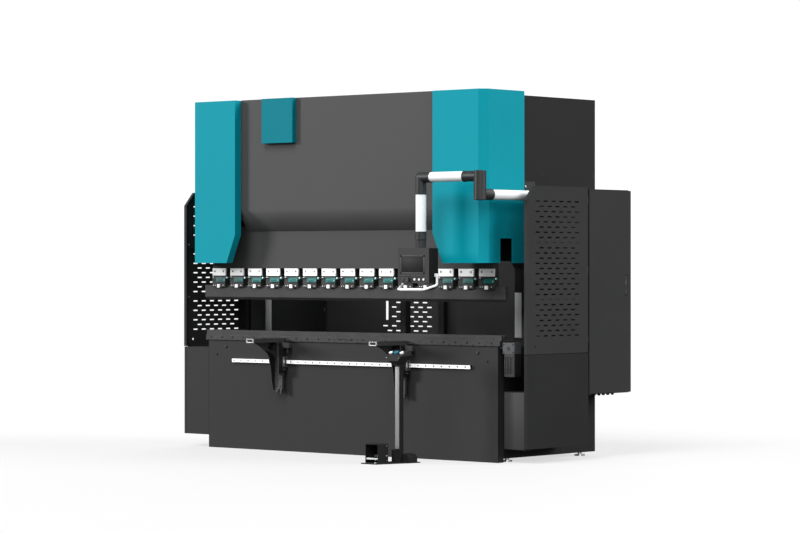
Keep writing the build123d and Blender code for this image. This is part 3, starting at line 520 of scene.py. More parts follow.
# ---------------------------------------------------------------------------
# Sheet supports
# ---------------------------------------------------------------------------
for side, node in (("left", "support_arm_left"), ("right", "support_arm_right")):
    x0, x1, y0, y1, z0, z1 = edges_of(node)
    cx = x0 + 61 if side == "left" else x0 + 61
    cx = x0 + 60
    tip = y0
    s = Shape()
    # pale moulded end frame with a dark core
    for a in ((cx - 42, cx - 31, tip - 0, tip + 6, 895.5, 929.5), (cx + 31, cx + 42, tip, tip + 6, 895.5, 929.5),
              (cx - 42, cx + 42, tip, tip + 6, 923, 930), (cx - 42, cx + 42, tip, tip + 6, 895, 902)):
        s.put(slab(*a, 1.2))
    s.done(f"support_tip_{side}", f"support_{side}", "white_plastic")
    s = Shape()
    s.put(slab(cx - 31, cx + 31, tip + 9, tip + 12.5, 900.5, 924.5, 0.8))
    for k in range(4):
        s.put(slab(cx - 26 + 15 * k, cx - 18 + 15 * k, tip + 5, tip + 9.4, 903, 922, 0.8))
    s.done(f"support_tip_core_{side}", f"support_{side}", "black_plastic")
    # two near-black strips laid on top of the bar for the T-slots: painted shade of the slot openings
    s = Shape()
    for dx in (-24, 24):
        s.put(slab(cx + dx - 3, cx + dx + 3, -412, -70, 929.4, 930.0, 0.2))
    s.done(f"support_slot_{side}", f"support_{side}", "painted_shade_and_joint_dark", slot="black_plastic")
    # pale scale strip on the outer edge of the carriage
    s = Shape()
    s.put(slab(cx + 56.0, cx + 60.4, -92.6, -80, 692, 776, 0.5))
    s.done(f"support_scale_{side}", f"support_{side}", "aluminium")
    s = Shape()
    for z in (532, 600, 664, 838):
        for dx in (-26, 26):
            s.put(socket_screw(5.2, 4.4), face_to("-Y", cx + dx, -92, z))
    for dx in (-53, 53):
        for z in (702, 766):
            s.put(socket_screw(5.2, 4.4), face_to("-Y", cx + dx, -92, z))
    for y in (-110, -180, -250, -320, -390):
        s.put(socket_screw(4.0, 0.9), face_to("+Z", cx, y, 929.0))
    s.done(f"support_screws_{side}", f"support_{side}", "blackened_steel", bevel=0.2)
    # near-black sheets inside the long blade, on the short blade and over the corner rib: painted shade where these
    # faces fall in shade
    s = Shape()
    s.put(prism([(-92.5, 500), (-108, 510), (-121, 550), (-129, 586), (-137, 668), (-150, 733), (-159, 774), (-178, 802),
                 (-212, 826), (-200, 830), (-160, 818), (-128, 800), (-104, 782), (-92.5, 770)], cx - 37.2, cx - 36.0))
    s.put(prism([(-92, 642), (-133, 642), (-139, 850), (-145, 894.6), (-60, 894.6), (-60, 642)], cx + 44.8, cx + 46.0))
    s.put(prism([(-173.5, 838), (-161, 867.5), (-130.5, 897), (-120, 894.8), (-146, 864), (-158, 833)], cx - 37.0, cx + 1.0))
    s.done(f"support_painted_shade_{side}", f"support_{side}", "painted_shade_black", slot="black_plastic")
    s = Shape()
    s.put(slab(cx - 26, cx - 1, -94.5, -78, 479, 511, 2.0))
    s.put(slab(cx + 22, cx + 45, -94.5, -78, 471, 511, 2.0))
    s.done(f"support_pads_{side}", f"support_{side}", "black_plastic", bevel=0.3)
    # clamping knob under the carriage and the star wheel of the height adjuster
    s = Shape()
    star = lathe([(0, 0), (6, 0), (6, 10), (lambda t: 17 + 2.4 * math.cos(6 * t), 11), (lambda t: 18 + 2.6 * math.cos(6 * t), 15),
                  (lambda t: 17.4 + 2.5 * math.cos(6 * t), 24), (12, 26.5), (0, 27)], 48)
    s.put(star, face_to("-Z", cx + 42, -70, 690))
    s.put(lathe([(0, 0), (5, 0), (5, 26), (8, 26.5), (lambda t: 11 + 1.2 * math.cos(10 * t), 27.5),
                 (lambda t: 11 + 1.2 * math.cos(10 * t), 38), (9, 40), (0, 40.4)], 60), face_to("-Z", cx + 88, -72, 850))
    s.done(f"support_knobs_{side}", f"support_{side}", "black_plastic", bevel=0.4)

# ---------------------------------------------------------------------------
# Crowning drive
# ---------------------------------------------------------------------------
gear = edges_of("crowning_gearbox")
s = Shape()
for y in (-18, 50):
    for x in (1604, 1694):
        s.put(socket_screw(6, 5.5), face_to("+Z", x, y, gear[5] - 5.5 + 5.5 - 5.5))
for z in (858, 917):
    for x in (1603, 1695):
        s.put(socket_screw(5, 4.5), face_to("-Y", x, gear[2], z))
s.put(lathe([(0, 0), (15, 0), (15, 2), (13, 3.4), (9, 3.4), (9, 2.2), (0, 2.2)], 28), face_to("-Y", 1649, gear[2], 887))
s.done("crowning_gearbox_screws", "frame", "blackened_steel", bevel=0.3)
s = Shape()
for k in range(12):
    t = math.pi * 2 * k / 12
    s.put(slab(1654 + 30 * math.cos(t) - 2.5, 1654 + 30 * math.cos(t) + 2.5, 16 + 30 * math.sin(t) - 2.5,
               16 + 30 * math.sin(t) + 2.5, 664.5, 669, 0.6))
s.put(lathe([(0, 0), (36, 0), (38, 1), (38, 4), (0, 4)], 40), face_to("+Z", 1654, 16, 663.5))
s.done("crowning_motor_fan_grille", "frame", "black_plastic")

# ---------------------------------------------------------------------------
# Console, pendant
# ---------------------------------------------------------------------------
con = edges_of("console_housing")
face = con[2]
s = Shape()
s.put(slab(970, 1185, face + 1.4, face + 3.9, 1475, 1590, 0.6))
s.done("console_screen", "console", "screen_glass", slot="black_plastic")
s = Shape()
for a in ((954, 968.6, 1459, 1606), (1186.4, 1201, 1459, 1606), (954, 1201, 1459, 1473.6), (954, 1201, 1591.4, 1606)):
    s.put(slab(a[0], a[1], face - 1.6, face + 1, a[2], a[3], 0.9))
s.done("console_bezel", "console", "charcoal_paint")
s = Shape()
for k in range(9):
    x = 962 + k * 26.2
    s.put(slab(x, x + 18, face - 2.0, face + 1, 1440, 1451, 1.0))
s.done("console_soft_keys", "console", "black_plastic")
s = Shape()
# near-black sheets on both sides of the console: painted shade on the sides
for a, b in ((con[0] - 0.3, con[0] + 1), (con[1] - 1, con[1] + 0.3)):
    s.put(slab(a, b, con[2] + 2, con[3] - 1, con[4] + 6, 1659, 0.3))
s.done("console_side_painted_shade", "console", "painted_shade_and_joint_dark", slot="black_plastic")
s = Shape()
for x in (942, 1230):
    for z in (1402, 1649):
        s.put(button_screw(4.2, 2.0), face_to("-Y", x, face, z))
s.put(lathe([(10.6, 0), (15.5, 0), (15.5, 2.0), (14, 3.0), (11.2, 3.0), (10.6, 2.4), (10.6, 0)], 30), face_to("-Y", 985, face, 1418))
s.put(lathe([(0, 0), (10.0, 0), (10.0, 3.0), (8.8, 4.0), (0, 4.0)], 26), face_to("-Y", 985, face, 1418))
for x in (1100, 1145, 1190):
    s.put(lathe([(9.2, 0), (12.5, 0), (12.5, 1.6), (11.4, 2.4), (9.2, 2.4), (9.2, 0)], 26), face_to("-Y", x, face, 1418))
s.done("console_button_rings", "console", "blackened_steel")
# vent fins on both console sides in the same near-black: painted shade
s = Shape()
for z in range(1420, 1641, 12):
    s.put(slab(con[1] - 1.0, con[1] + 0.8, -470, -416, z, z + 5, 0.6))
    s.put(slab(con[0] - 0.8, con[0] + 1.0, -470, -416, z, z + 5, 0.6))
s.done("console_side_fins", "console", "painted_shade_and_joint_dark", slot="black_plastic")
s = Shape()
s.put(slab(960, 1212, con[3] - 0.6, con[3] + 1.6, 1412, 1640, 1.2))
for k in range(10):
    s.put(slab(1000 + k * 18, 1009 + k * 18, con[3] + 0.8, con[3] + 3.4, 1560, 1620, 1.0))
s.done("console_back_plate", "console", "black_plastic")
row(button_screw(4.0, 2.0), "+Y", [(x, con[3] + 1.6, z) for x in (970, 1202) for z in (1422, 1630)]).done(
    "console_back_screws", "console", "zinc_steel")
s = Shape()
s.put(lathe([(40, 0), (44, 0.6), (44, 7), (41, 8), (40, 8), (40, 0)], 48), face_to("+Z", 1116, -443, con[5]))
s.put(lathe([(40, 0), (42.5, 0.6), (42.5, 4), (40, 4.6), (40, 0)], 48), face_to("+Z", 1116, -443, 1716))
s.done("console_collar_rings", "console", "black_plastic")
h = Shape()
# soft sleeves on the handle bars, ribbed
for k in range(16):
    x = 985 + k * 12.6
    h.put(lathe([(9.0, 0), (11.4, 0.8), (11.4, 7.6), (9.0, 8.4), (9.0, 0)], 22), face_to("+X", x, -528, 1340))
h.done("console_handle_grip", "console", "white_plastic")

ring = [(39, 0), (44.2, 0.8), (44.2, 5.2), (39, 6), (39, 0)]
s = Shape()
for x in (1216, 1549):
    s.put(lathe(ring, 48), face_to("+X", x, -443, 2205))
for z in (1781, 2073):
    s.put(lathe([(r + 2 if r < 40 else r + 0.6, q) for r, q in ring], 48), face_to("+Z", 1116, -443, z))
s.done("pendant_tube_collars", "pendant_arm", "black_plastic")
s = Shape()
for k in range(3):
    t = 2 * math.pi * k / 3 + 0.5
    s.put(socket_screw(3.4, 1.2), Matrix.Translation((1700 + 47.4 * math.cos(t), -443 + 47.4 * math.sin(t), 2225))
          @ Matrix.Rotation(t, 4, "Z") @ Matrix.Rotation(math.pi / 2, 4, "Y"))
    s.put(socket_screw(3.4, 1.2), Matrix.Translation((1116 + 41.4 * math.cos(t), -443 + 41.4 * math.sin(t), 1752))
          @ Matrix.Rotation(t, 4, "Z") @ Matrix.Rotation(math.pi / 2, 4, "Y"))
s.put(lathe([(0, 0), (40, 0), (40, 1.2), (34, 3.2), (20, 4.4), (0, 4.8)], 48), face_to("+Z", 1700, -443, 2245.4))
s.done("pendant_joint_caps", "pendant_arm", "black_plastic")
s = Shape()
s.put(lathe(ring, 48), face_to("+Y", 1700, -318, 2066))
s.put(lathe(ring, 48), face_to("+Y", 1700, 290, 2066))
s.put(lathe([(43, 0), (49.4, 0.8), (49.4, 4.4), (43, 5.2), (43, 0)], 48), face_to("+Z", 1700, -443, 2026))
s.put(lathe([(0, 0), (36, 0), (40, 1.4), (40, 3.2), (30, 4.2), (0, 4.6)], 48), face_to("-Z", 1700, -443, 2025))
s.put(lathe([(0, 0), (44, 0), (44, 2), (38, 5), (0, 6)], 48), face_to("+Y", 1700, 396, 2066))
s.done("pendant_lower_collars", "frame", "black_plastic")
row(hex_bolt(17, 8), "+X", [(1562, y, z) for y in (292, 400) for z in (1975, 2040, 2140)]).done(
    "pendant_bracket_bolts", "frame", "zinc_steel", bevel=0.3)

# ---------------------------------------------------------------------------
# Foot station
# ---------------------------------------------------------------------------
tilt = Vector((0, -46, 95)).normalized()
tip_turn = Vector((0, 0, 1)).rotation_difference(tilt).to_matrix().to_4x4()


def on_head(x, up):
    return Matrix.Translation(Vector((x, -552.5, 845)) + tilt * up) @ tip_turn


s = Shape()
for x in (908, 963, 1018):
    s.put(lathe([(14, -0.6), (24.5, -0.6), (24.5, 1.4), (22.5, 2.8), (14.0, 2.8), (14, -0.6)], 36), on_head(x, 0))
s.done("station_button_bezels", "foot_station", "black_plastic")
s = Shape()
for x in (908, 1018):
    s.put(lathe([(0, 0), (12.6, 0), (12.6, 0.8), (10.5, 1.6), (0, 1.9)], 30), on_head(x, 13.4))
s.done("station_button_lenses", "station_buttons", "white_plastic")
s = Shape()
s.put(lathe([(0, 0), (17.4, 0), (17.4, 0.8), (14, 1.6), (0, 1.9)], 30), on_head(963, 15.4))
s.done("station_centre_lens", "station_button_centre", "blue_plastic")
head = edges_of("station_head")
s = Shape()
for x in (900, 1025):
    s.put(button_screw(3.6, 1.8), face_to("-Y", x, -600, 814))
s.done("station_head_screws", "foot_station", "zinc_steel")
s = Shape()
s.put(slab(939.4, 985.6, -564, -487, 757.5, 760.6, 0.8))
s.put(lathe([(0, 0), (13, 0), (13, 7), (hexagon(24), 7.4), (hexagon(24), 14), (9, 16), (9, 22), (0, 22)], 24), face_to("+Y", 963, -485, 806))
s.done("station_head_gasket", "foot_station", "black_plastic")
s = Shape()
for x, y in ((830, -770), (935, -770), (905, -430), (1040, -412)):
    s.put(hex_bolt(13, 6), face_to("+Z", x, y, 8))
s.done("station_base_bolts", "foot_station", "zinc_steel", bevel=0.2)
s = Shape()
s.put(slab(952, 999, -562, -508, 8, 14, 1.5))
s.put(slab(952.6, 998.4, -561.4, -508.6, 750, 757.6, 1.5))
for z in (40, 84):
    s.put(socket_screw(5, 4), face_to("-Y", 960, -580, z))
s.done("station_post_collars", "foot_station", "dark_paint")
s = Shape()
s.put(slab(955.5, 995.5, -561.0, -559.0, 112, 744, 0.8))
for z in (124, 732):
    s.put(button_screw(3.0, 1.4), face_to("-Y", 975.5, -561.0, z))
s.done("station_post_face", "foot_station", "post_grey", slot="aluminium")
s = Shape()
for k in range(9):
    s.put(slab(830 + 12.2 * k, 835.4 + 12.2 * k, -738, -662, 45.4, 48.6, 0.8))
s.done("pedal_grip_ribs", "pedal", "black_plastic")
hood = edges_of("pedal_hood")
s = Shape()
for x in (hood[0], hood[1]):
    d = "-X" if x == hood[0] else "+X"
    s.put(button_screw(6.0, 2.4), face_to(d, x, -650, 60))
    for z in (24, 136):
        s.put(button_screw(3.6, 1.8), face_to(d, x, -645, z))
s.done("pedal_hood_screws", "foot_station", "zinc_steel")

# ---------------------------------------------------------------------------
# Covers, housings, cabinet, doors
# ---------------------------------------------------------------------------
s = Shape()
for side in (-1, 1):
    for z in (160, 330, 500) if side > 0 else ():
        s.put(button_screw(6, 2.6), face_to("-Y", side * 1572, 36, z))
        s.put(button_screw(6, 2.6), face_to("-Y", side * 1790, 36, z))
s.done("side_cover_screws", "frame", "blackened_steel")
s = Shape()
for side in (-1, 1):
    for z in (80, 450, 820):
        s.put(button_screw(6, 2.6), face_to("-Y", side * 1466, 36, z))
    for z in (1620, 1900, 2180, 2460, 2740):
        s.put(button_screw(5, 2.2), face_to("-Y", side * 1540, 268, z))
s.done("housing_front_screws", "frame", "blackened_steel")
# lighter sheet on the recessed front of the right side cover: painted light, brightening a face that falls in the bed
# end's shadow
s = Shape()
s.put(slab(1557, 1803, 34.9, 36.4, 106, 546, 0.6))
s.done("side_cover_front_painted_light", "frame", "charcoal_paint")
s = Shape()
s.put(slab(-1806, -1802.5, -30, 43, 836, 850, 0.8))
s.done("side_cover_upstand", "frame", "dark_paint")
s = Shape()
for side in (-1, 1):
    a, b = sorted((side * 1312, side * 1379))
    s.put(slab(a, b, 479.0, 480.4, 955, 1310, 0.4))
s.done("frame_throat_edges", "frame", "milled_edge", slot="aluminium")
s = Shape()
for side in (-1, 1):
    a, b = sorted((side * 1549.2, side * 1551.2))
    s.put(slab(a, b, 755, 758, 40, 505, 0.3))
    for z in (300, 1200, 2300):
        s.put(slab(a, b, 1190, 1221, z, z + 2, 0.3))
s.done("housing_sheet_joints", "frame", "painted_shade_and_joint_dark", slot="black_plastic")
s = Shape()
for side in (-1, 1):
    d = "+X" if side > 0 else "-X"
    for y in (300, 520, 740) if side < 0 else (300, 520):
        for z in (2240, 2830):
            s.put(button_screw(5, 2.2), face_to(d, side * 1550, y, z))
    for z in (2240, 2540, 2830):
        s.put(button_screw(5, 2.2), face_to(d, side * 1550, 1200, z))
s.done("housing_side_screws", "frame", "blackened_steel")
# lifting eyes on the C-frame tops
s = Shape()
for side in (-1, 1):
    for y in (420, 1000):
        x = side * 1345
        s.put(lathe([(0, 0), (24, 0), (24, 8), (16, 12), (0, 12)], 28), face_to("+Z", x, y, 2800))
        loop = [(x + 17 * math.cos(t), y, 2826 + 17 * math.sin(t)) for t in [2 * math.pi * k / 24 for k in range(25)]]
        s.put(pipe(loop, 6, 12, 0.5))
s.done("lifting_eyes", "frame", "zinc_steel")

# cabinet: door seal, hinges, latch details
door = edges_of("cabinet_door")
s = Shape()
for z in (620, 1318, 1990):
    s.put(lathe([(0, 0), (6.2, 0), (6.6, 0.8), (6.6, 38), (6.2, 39), (0, 39)], 24), face_to("+Z", 1829, 768 - 1.0, z))
s.done("cabinet_hinge_barrels", "frame", "zinc_steel")
s = Shape()
for a in ((1813.2, 1816.8, 770, 778, 522, 2114), (1813.2, 1816.8, 1296, 1304, 522, 2114), (1813.2, 1816.8, 770, 1304, 522, 530),
          (1813.2, 1816.8, 770, 1304, 2106, 2114)):
    s.put(slab(*a, 1.0))
s.done("cabinet_door_seal", "cabinet_door", "black_plastic")
s = Shape()
s.put(slab(1835.4, 1836.9, 1242, 1258, 1302, 1320, 0.6))
s.put(slab(1835.4, 1836.9, 1240, 1260, 1340, 1400, 0.6))
s.done("cabinet_latch_face", "cabinet_latch", "black_plastic")
s = Shape()
for z0, h, d in ((1750, 260, 150), (1350, 260, 120), (1000, 180, 90), (700, 150, 110)):
    x = 1572 + d
    s.put(slab(x - 0.5, x + 2.5, 862, 998, z0 + h * 0.30, z0 + h - 12, 1.5))
    for k in range(9):
        s.put(slab(x - 1, x + 1.4, 868 + 14 * k, 874 + 14 * k, z0 + 10, z0 + h * 0.24, 0.8))
    x = 1552 + d
    for k in range(11):
        s.put(slab(x - 1, x + 8, 1050 + 16 * k, 1060 + 16 * k, z0 + 18, z0 + 44, 1.0))
    s.put(slab(x - 0.5, x + 2.2, 1050, 1220, z0 + 58, z0 + h - 44, 1.5))
s.done("cabinet_unit_fronts", "frame", "black_plastic")
s = Shape()
for z0 in (660, 960, 1310, 1700, 2040):
    s.put(slab(1573, 1600, 830, 1260, z0 - 18, z0, 2.0))
    for k in range(28):
        s.put(slab(1600, 1603, 834 + 15 * k, 840 + 15 * k, z0 - 16, z0 - 2, 0.6))
s.done("cabinet_wire_ducts", "frame", "white_plastic")
s = Shape()
for z in (560, 620, 680):
    for y in range(900, 1201, 60):
        s.put(lathe([(0, 0), (14, 0), (14, 5), (hexagon(26), 5.5), (hexagon(26), 12), (9, 15), (9, 18), (0, 18)], 24),
              face_to("-Z", 1640 + (z - 560) * 0.8, y, 509))
s.done("cabinet_glands", "frame", "black_plastic")

# side guards: rubber lip on the front edge, screws at the ribs, grip in the hole
for side, sx in (("left", -1), ("right", 1)):
    body = f"side_guard_{side}"
    s = Shape()
    a, b = sorted((sx * 1809.0, sx * 1814.0))
    s.put(slab(a, b, -41 + 1.2, -35, 846, 2022, 1.0))
    s.done(f"guard_edge_lip_{side}", body, "black_plastic")
    s = Shape()
    for z in (1258, 1698):
        for y in (0, 330, 660):
            s.put(button_screw(4.6, 2.2), face_to("-X" if sx > 0 else "+X", sx * 1817, y, z))
    s.done(f"guard_rib_screws_{side}", body, "zinc_steel")
    s = Shape()
    s.put(lathe([(9.5, 0), (12.4, 0), (12.4, 3.6), (9.5, 3.6), (9.5, 0)], 32), face_to("+X" if sx > 0 else "-X", sx * 1833.2, 65, 900))
    s.done(f"guard_lock_{side}", body, "blackened_steel")

# rear doors and frame
for side, sx in (("left", -1), ("right", 1)):
    body = f"rear_door_{side}"
    s = Shape()
    for z in (140, 1125, 2110):
        x = sx * 1367
        s.put(lathe([(0, 0), (5.0, 0), (5.4, 0.8), (5.4, 29), (5, 30), (0, 30)], 20), face_to("+Z", sx * 1361, 1205, z))
    s.done(f"rear_door_barrels_{side}", body, "zinc_steel")
    s = Shape()
    a, b = sorted((sx * 70, sx * 100))
    s.put(slab(a, b, 1215, 1218.5, 1150, 1210, 1.2))
    s.put(lathe([(0, 0), (9, 0), (9, 1.2), (7, 2.2), (0, 2.2)], 26), face_to("+Y", sx * 85, 1218.4, 1180))
    s.done(f"rear_door_lock_{side}", body, "zinc_steel")
    s = Shape()
    for z in (1090, 1270):
        s.put(socket_screw(4.4, 3.2), face_to("+Y", sx * 50, 1236.6, z))
    s.done(f"rear_pull_screws_{side}", body, "blackened_steel")
s = Shape()
for x in range(-1340, 1341, 268):
    for z in (70, 2190, 2260, 2830):
        s.put(button_screw(6, 2.8), face_to("+Y", x, 1221, z))
s.done("rear_frame_screws", "frame", "zinc_steel")
s = Shape()
for x in range(-1000, 1001, 250):
    for z in range(2350, 2751, 50):
        # pressed hood over each ventilation louvre
        s.put(prism([(1221, z + 14), (1221, z + 8), (1229, z - 5), (1230.5, z - 4), (1223, z + 14)], x - 92, x + 92))
s.done("rear_louvre_hoods", "frame", "dark_paint")

# levelling feet: lock nuts and anchors
s = Shape()
for sx in (-1, 1):
    for y in (140, 1080):
        s.put(hex_bolt(52, 20, 1.15), face_to("+Z", sx * 1500, y, 78))
        s.put(lathe([(12.5, 0), (21, 0), (21, 3), (12.5, 3), (12.5, 0)], 32), face_to("+Z", sx * 1430, y, 60))
s.done("feet_nuts", "frame", "zinc_steel", bevel=0.5)

# ---------------------------------------------------------------------------
# Hydraulics and back gauge
# ---------------------------------------------------------------------------
s = Shape()
for side in (-1, 1):
    for k in range(8):
        t = 2 * math.pi * (k + 0.5) / 8
        s.put(socket_screw(9, 11), face_to("+Z", side * 1345 + 112 * math.cos(t) * 1.0, 112 * math.sin(t), 2620))
    for x in (-74, 74):
        for z in (2320, 2540):
            s.put(socket_screw(8, 8), face_to("-Y", side * 1345 + x, -175, z))
    for x in (-100, 100):
        for z in (2000, 2200, 2400, 2540):
            s.put(hex_bolt(22, 9), face_to("-Y", side * 1345 + x, -140, z) if abs(x) > 95 else face_to("-Y", side * 1345 + x, -140, z))
s.done("cylinder_bolts", "frame", "zinc_steel", bevel=0.4)
s = Shape()
for side in (-1, 1):
    for z in (2370, 2450):
        s.put(lathe([(0, 0), (20, 0), (20, 2), (17, 3), (17, 34), (15, 38), (9, 39), (9, 42), (0, 42)], 28), face_to("-Y", side * 1345 - 34, -175, z))
        s.put(slab(side * 1345 + 12, side * 1345 + 62, -212, -175, z - 24, z + 24, 3))
s.done("valve_solenoids", "frame", "black_plastic")
s = Shape()
for side in (-1, 1):
    x = side * 1345
    s.put(pipe([(x, 0, 2740), (x, 0, 2790), (x, 480, 2790), (side * 1100, 480, 2790), (side * 1100, 480, 2640)], 15, 18, 60))
    s.put(pipe([(x - side * 60, 100, 2620), (x - side * 60, 100, 2690), (x - side * 60, 560, 2690), (side * 1150, 560, 2690), (side * 1150, 560, 2640)], 9, 16, 40))
    s.put(pipe([(side * 260 if side > 0 else -300, 620, 2760), (side * 420, 620, 2700), (side * 900, 620, 2700), (side * 1060, 620, 2660), (side * 1060, 620, 2640)], 8, 14, 40))
s.done("hydraulic_pipes", "frame", "zinc_steel")
s = Shape()
for side in (-1, 1):
    for x, y, z in ((side * 1345, 0, 2740), (side * 1100, 480, 2640)):
        s.put(lathe([(0, 0), (30, 0), (30, 8), (hexagon(44), 8.5), (hexagon(44), 26), (18, 28), (0, 28)], 30), face_to("+Z", x, y, z))
    s.put(lathe([(0, 0), (16, 0), (hexagon(28), 1), (hexagon(28), 18), (11, 20), (0, 20)], 24), face_to("+Z", side * 1150, 560, 2640))
    s.put(lathe([(0, 0), (16, 0), (hexagon(28), 1), (hexagon(28), 18), (11, 20), (0, 20)], 24), face_to("+Z", side * 1285, 100, 2620))
s.done("pipe_fittings", "frame", "zinc_steel", bevel=0.5)
s = Shape()
for k in range(30):
    t = 2 * math.pi * k / 30
    if math.sin(t) > 0.84:
        continue
    place = Matrix.Translation((0, 660, 2770)) @ Matrix.Rotation(t, 4, "X")
    s.put(slab(-205, 70, 118, 130, -1.6, 1.6, 0.8), place) if -0.75 < math.sin(t) else None
s.done("motor_fins", "frame", "cast_grey")
s = Shape()
s.put(lathe([(0, 0), (112, 0), (119.2, 3), (119.2, 46), (117.2, 46), (117, 6), (0, 6)], 60), face_to("-X", -222, 660, 2770))
for r in (30, 50, 70, 90, 108):
    s.put(lathe([(r - 3, 0), (r, 0), (r, 4), (r - 3, 4), (r - 3, 0)], 56), face_to("-X", -260, 660, 2770))
s.done("motor_fan_cover", "frame", "dark_paint")
s = Shape()
s.put(slab(-126, 6, 614, 706, 2874, 2883, 2.0))
s.done("motor_terminal_lid", "frame", "cast_grey")
tank = edges_of("oil_tank")
s = Shape()
for x in range(-1180, 1181, 118):
    for y in (346, 984):
        s.put(hex_bolt(13, 6), face_to("+Z", x, y, 2640))
s.put(lathe([(0, 0), (46, 0), (46, 3), (hexagon(60), 3.5), (hexagon(60), 16), (26, 20), (0, 20)], 30), face_to("+Z", -900, 560, 2690))
s.put(lathe([(0, 0), (62, 0), (62, 3), (54, 3), (54, 26), (48, 34), (0, 36)], 40), face_to("+Z", 900, 800, 2660))
s.done("tank_top_fittings", "frame", "zinc_steel", bevel=0.4)
s = Shape()
s.put(slab(-640, -606, 322, 331, 2360, 2560, 2.5))
s.put(slab(-634, -612, 319, 323, 2385, 2535, 2.0))
s.done("tank_level_gauge", "frame", "white_plastic")

s = Shape()
for side in (-1, 1):
    for y in range(90, 1101, 85):
        s.put(socket_screw(6, 0.8), face_to("+Z", side * 620, y, 661.6))
        for dx in (-30, 30):
            s.put(socket_screw(6.5, 0.8), face_to("+Z", side * 620 + dx, y, 640))
s.done("gauge_rail_screws", "frame", "blackened_steel", bevel=0.2)
s = Shape()
for side in (-1, 1):
    x = side * 560
    s.put(lathe([(0, 0), (8, 0)] + [(8 + (0.9 if k % 2 else 0), 4 + k * 5) for k in range(0, 196)] + [(8, 990), (0, 990)], 16), face_to("+Y", x, 70, 612))
    for y in (62, 1062):
        s.put(slab(x - 24, x + 20 if side < 0 else x + 20, y - 12, y + 12, 590, 636, 2.0))
s.done("gauge_lead_screws", "frame", "ground_steel")
s = Shape()
for side in (-1, 1):
    for dx in (-34, 34):
        for y in (674, 786):
            s.put(socket_screw(5.5, 5), face_to("+Z", side * 620 + dx, y, 700))
for z in range(780, 1281, 50):
    s.put(socket_screw(4.5, 0.9), face_to("-Y", -33, 697.4, z))
s.done("gauge_carriage_screws", "gauge_carriage", "blackened_steel", bevel=0.2)
s = Shape()
for x in (-85, 19):
    for z in (818, 922):
        s.put(socket_screw(6, 5), face_to("+Y", x, 762, z))
s.put(slab(-1150, 1150, 588.8, 590.2, 861, 869, 0.4))
s.done("gauge_beam_screws", "gauge_beam", "blackened_steel", bevel=0.2)
for side, cx in (("left", -520), ("right", 520)):
    s = Shape()
    s.put(slab(cx - 19, cx + 19, 326.5, 331, 916, 949, 1.2))
    s.done(f"finger_pad_{side}", f"finger_{side}", "blackened_steel")
    s = Shape()
    for y in (400, 450, 500, 550):
        s.put(socket_screw(5.5, 5), face_to("+Z", cx, y, 915))
    for dx in (-30, 30):
        s.put(socket_screw(6, 5), face_to("+Z", cx + dx, 600, 925))
    s.put(lathe([(0, 0), (5, 0), (5, 14), (8, 15), (lambda t: 17 + 1.6 * math.cos(12 * t), 17), (lambda t: 17 + 1.6 * math.cos(12 * t), 30),
                 (14, 32), (0, 32.5)], 60), face_to("+Z", cx, 645, 925))
    s.done(f"finger_screws_{side}", f"finger_{side}", "zinc_steel", bevel=0.2)

# ---------------------------------------------------------------------------
# Studio: floor, backdrop, lights
# ---------------------------------------------------------------------------
def stage_mesh(name, verts, faces, mat):
    mesh = bpy.data.meshes.new(name)
    mesh.from_pydata(verts, [], faces)
    obj = bpy.data.objects.new(name, mesh)
    mesh.materials.append(mat)
    bpy.context.collection.objects.link(obj)
    return obj


floor_mat = bpy.data.materials.new("floor_look")
floor_mat.use_nodes = True
b = floor_mat.node_tree.nodes["Principled BSDF"]
b.inputs["Base Color"].default_value = (0.145, 0.145, 0.145, 1)
b.inputs["Emission Color"].default_value = (1, 1, 1, 1)
b.inputs["Emission Strength"].default_value = 0.64
b.inputs["Roughness"].default_value = 0.9
b.inputs["Specular IOR Level"].default_value = 0.1
R = 90.0
floor = stage_mesh("floor", [(R * math.cos(t), R * math.sin(t), 0) for t in [2 * math.pi * k / 48 for k in range(48)]],
           [list(range(48))], floor_mat)

floor.visible_diffuse = floor.visible_glossy = False

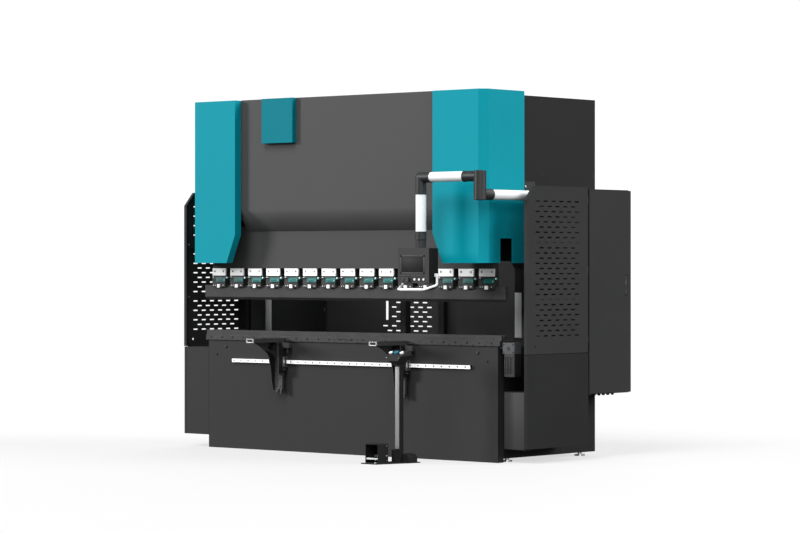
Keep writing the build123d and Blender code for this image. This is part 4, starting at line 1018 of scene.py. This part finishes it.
dome_mat = bpy.data.materials.new("backdrop_look")
dome_mat.use_nodes = True
dome_nodes = dome_mat.node_tree.nodes
glow = dome_nodes.new("ShaderNodeEmission")
glow.inputs["Strength"].default_value = 1.05
dome_mat.node_tree.links.new(glow.outputs["Emission"], dome_nodes["Material Output"].inputs["Surface"])
verts, faces = lathe([(0.0001, -88.0)] + [(88 * math.cos(a), 88 * math.sin(a)) for a in [math.pi * (k / 24 - 0.5) for k in range(1, 24)]] + [(0.0001, 88.0)], 48)
dome = stage_mesh("backdrop", verts, faces, dome_mat)
dome.visible_diffuse = dome.visible_glossy = dome.visible_transmission = False
dome.visible_shadow = dome.visible_volume_scatter = False

world = bpy.data.worlds.new("studio")
bpy.context.scene.world = world
world.use_nodes = True
world.node_tree.nodes["Background"].inputs["Color"].default_value = (1, 1, 1, 1)
world.node_tree.nodes["Background"].inputs["Strength"].default_value = 0.16


def sun(name, azimuth, elevation, strength, angle):
    """Azimuth 0 shines from the front (-Y), 90 from the right (+X)."""
    data = bpy.data.lights.new(name, "SUN")
    data.energy = strength
    data.angle = math.radians(angle)
    obj = bpy.data.objects.new(name, data)
    a, e = math.radians(azimuth), math.radians(elevation)
    d = Vector((math.sin(a) * math.cos(e), -math.cos(a) * math.cos(e), math.sin(e)))
    obj.rotation_mode = "QUATERNION"
    obj.rotation_quaternion = d.to_track_quat("Z", "Y")
    bpy.context.collection.objects.link(obj)


sun("key_left", -50, 14, 2.0, 16)
sun("key_high", 6, 50, 4.2, 34)
sun("side_right", 120, 28, 3.7, 40)
sun("fill_right", 50, 12, 1.2, 50)
sun("back_fill", 205, 40, 1.6, 60)

# glow inside the machine, behind the ram, on the rear doors and frame plates
inner = bpy.data.lights.new("inner_fill", "AREA")
inner.shape = "RECTANGLE"
inner.size, inner.size_y, inner.energy = 2.3, 0.5, 21.0
lamp = bpy.data.objects.new("inner_fill", inner)
lamp.location = (0.0, 0.30, 1.70)
lamp.rotation_euler = (math.radians(62), 0, 0)
lamp.visible_camera = lamp.visible_glossy = False
bpy.context.collection.objects.link(lamp)

bpy.context.scene.view_settings.view_transform = "Standard"
bpy.context.scene.view_settings.look = "None"

# ---------------------------------------------------------------------------
# View layer update
# ---------------------------------------------------------------------------
bpy.context.view_layer.update()
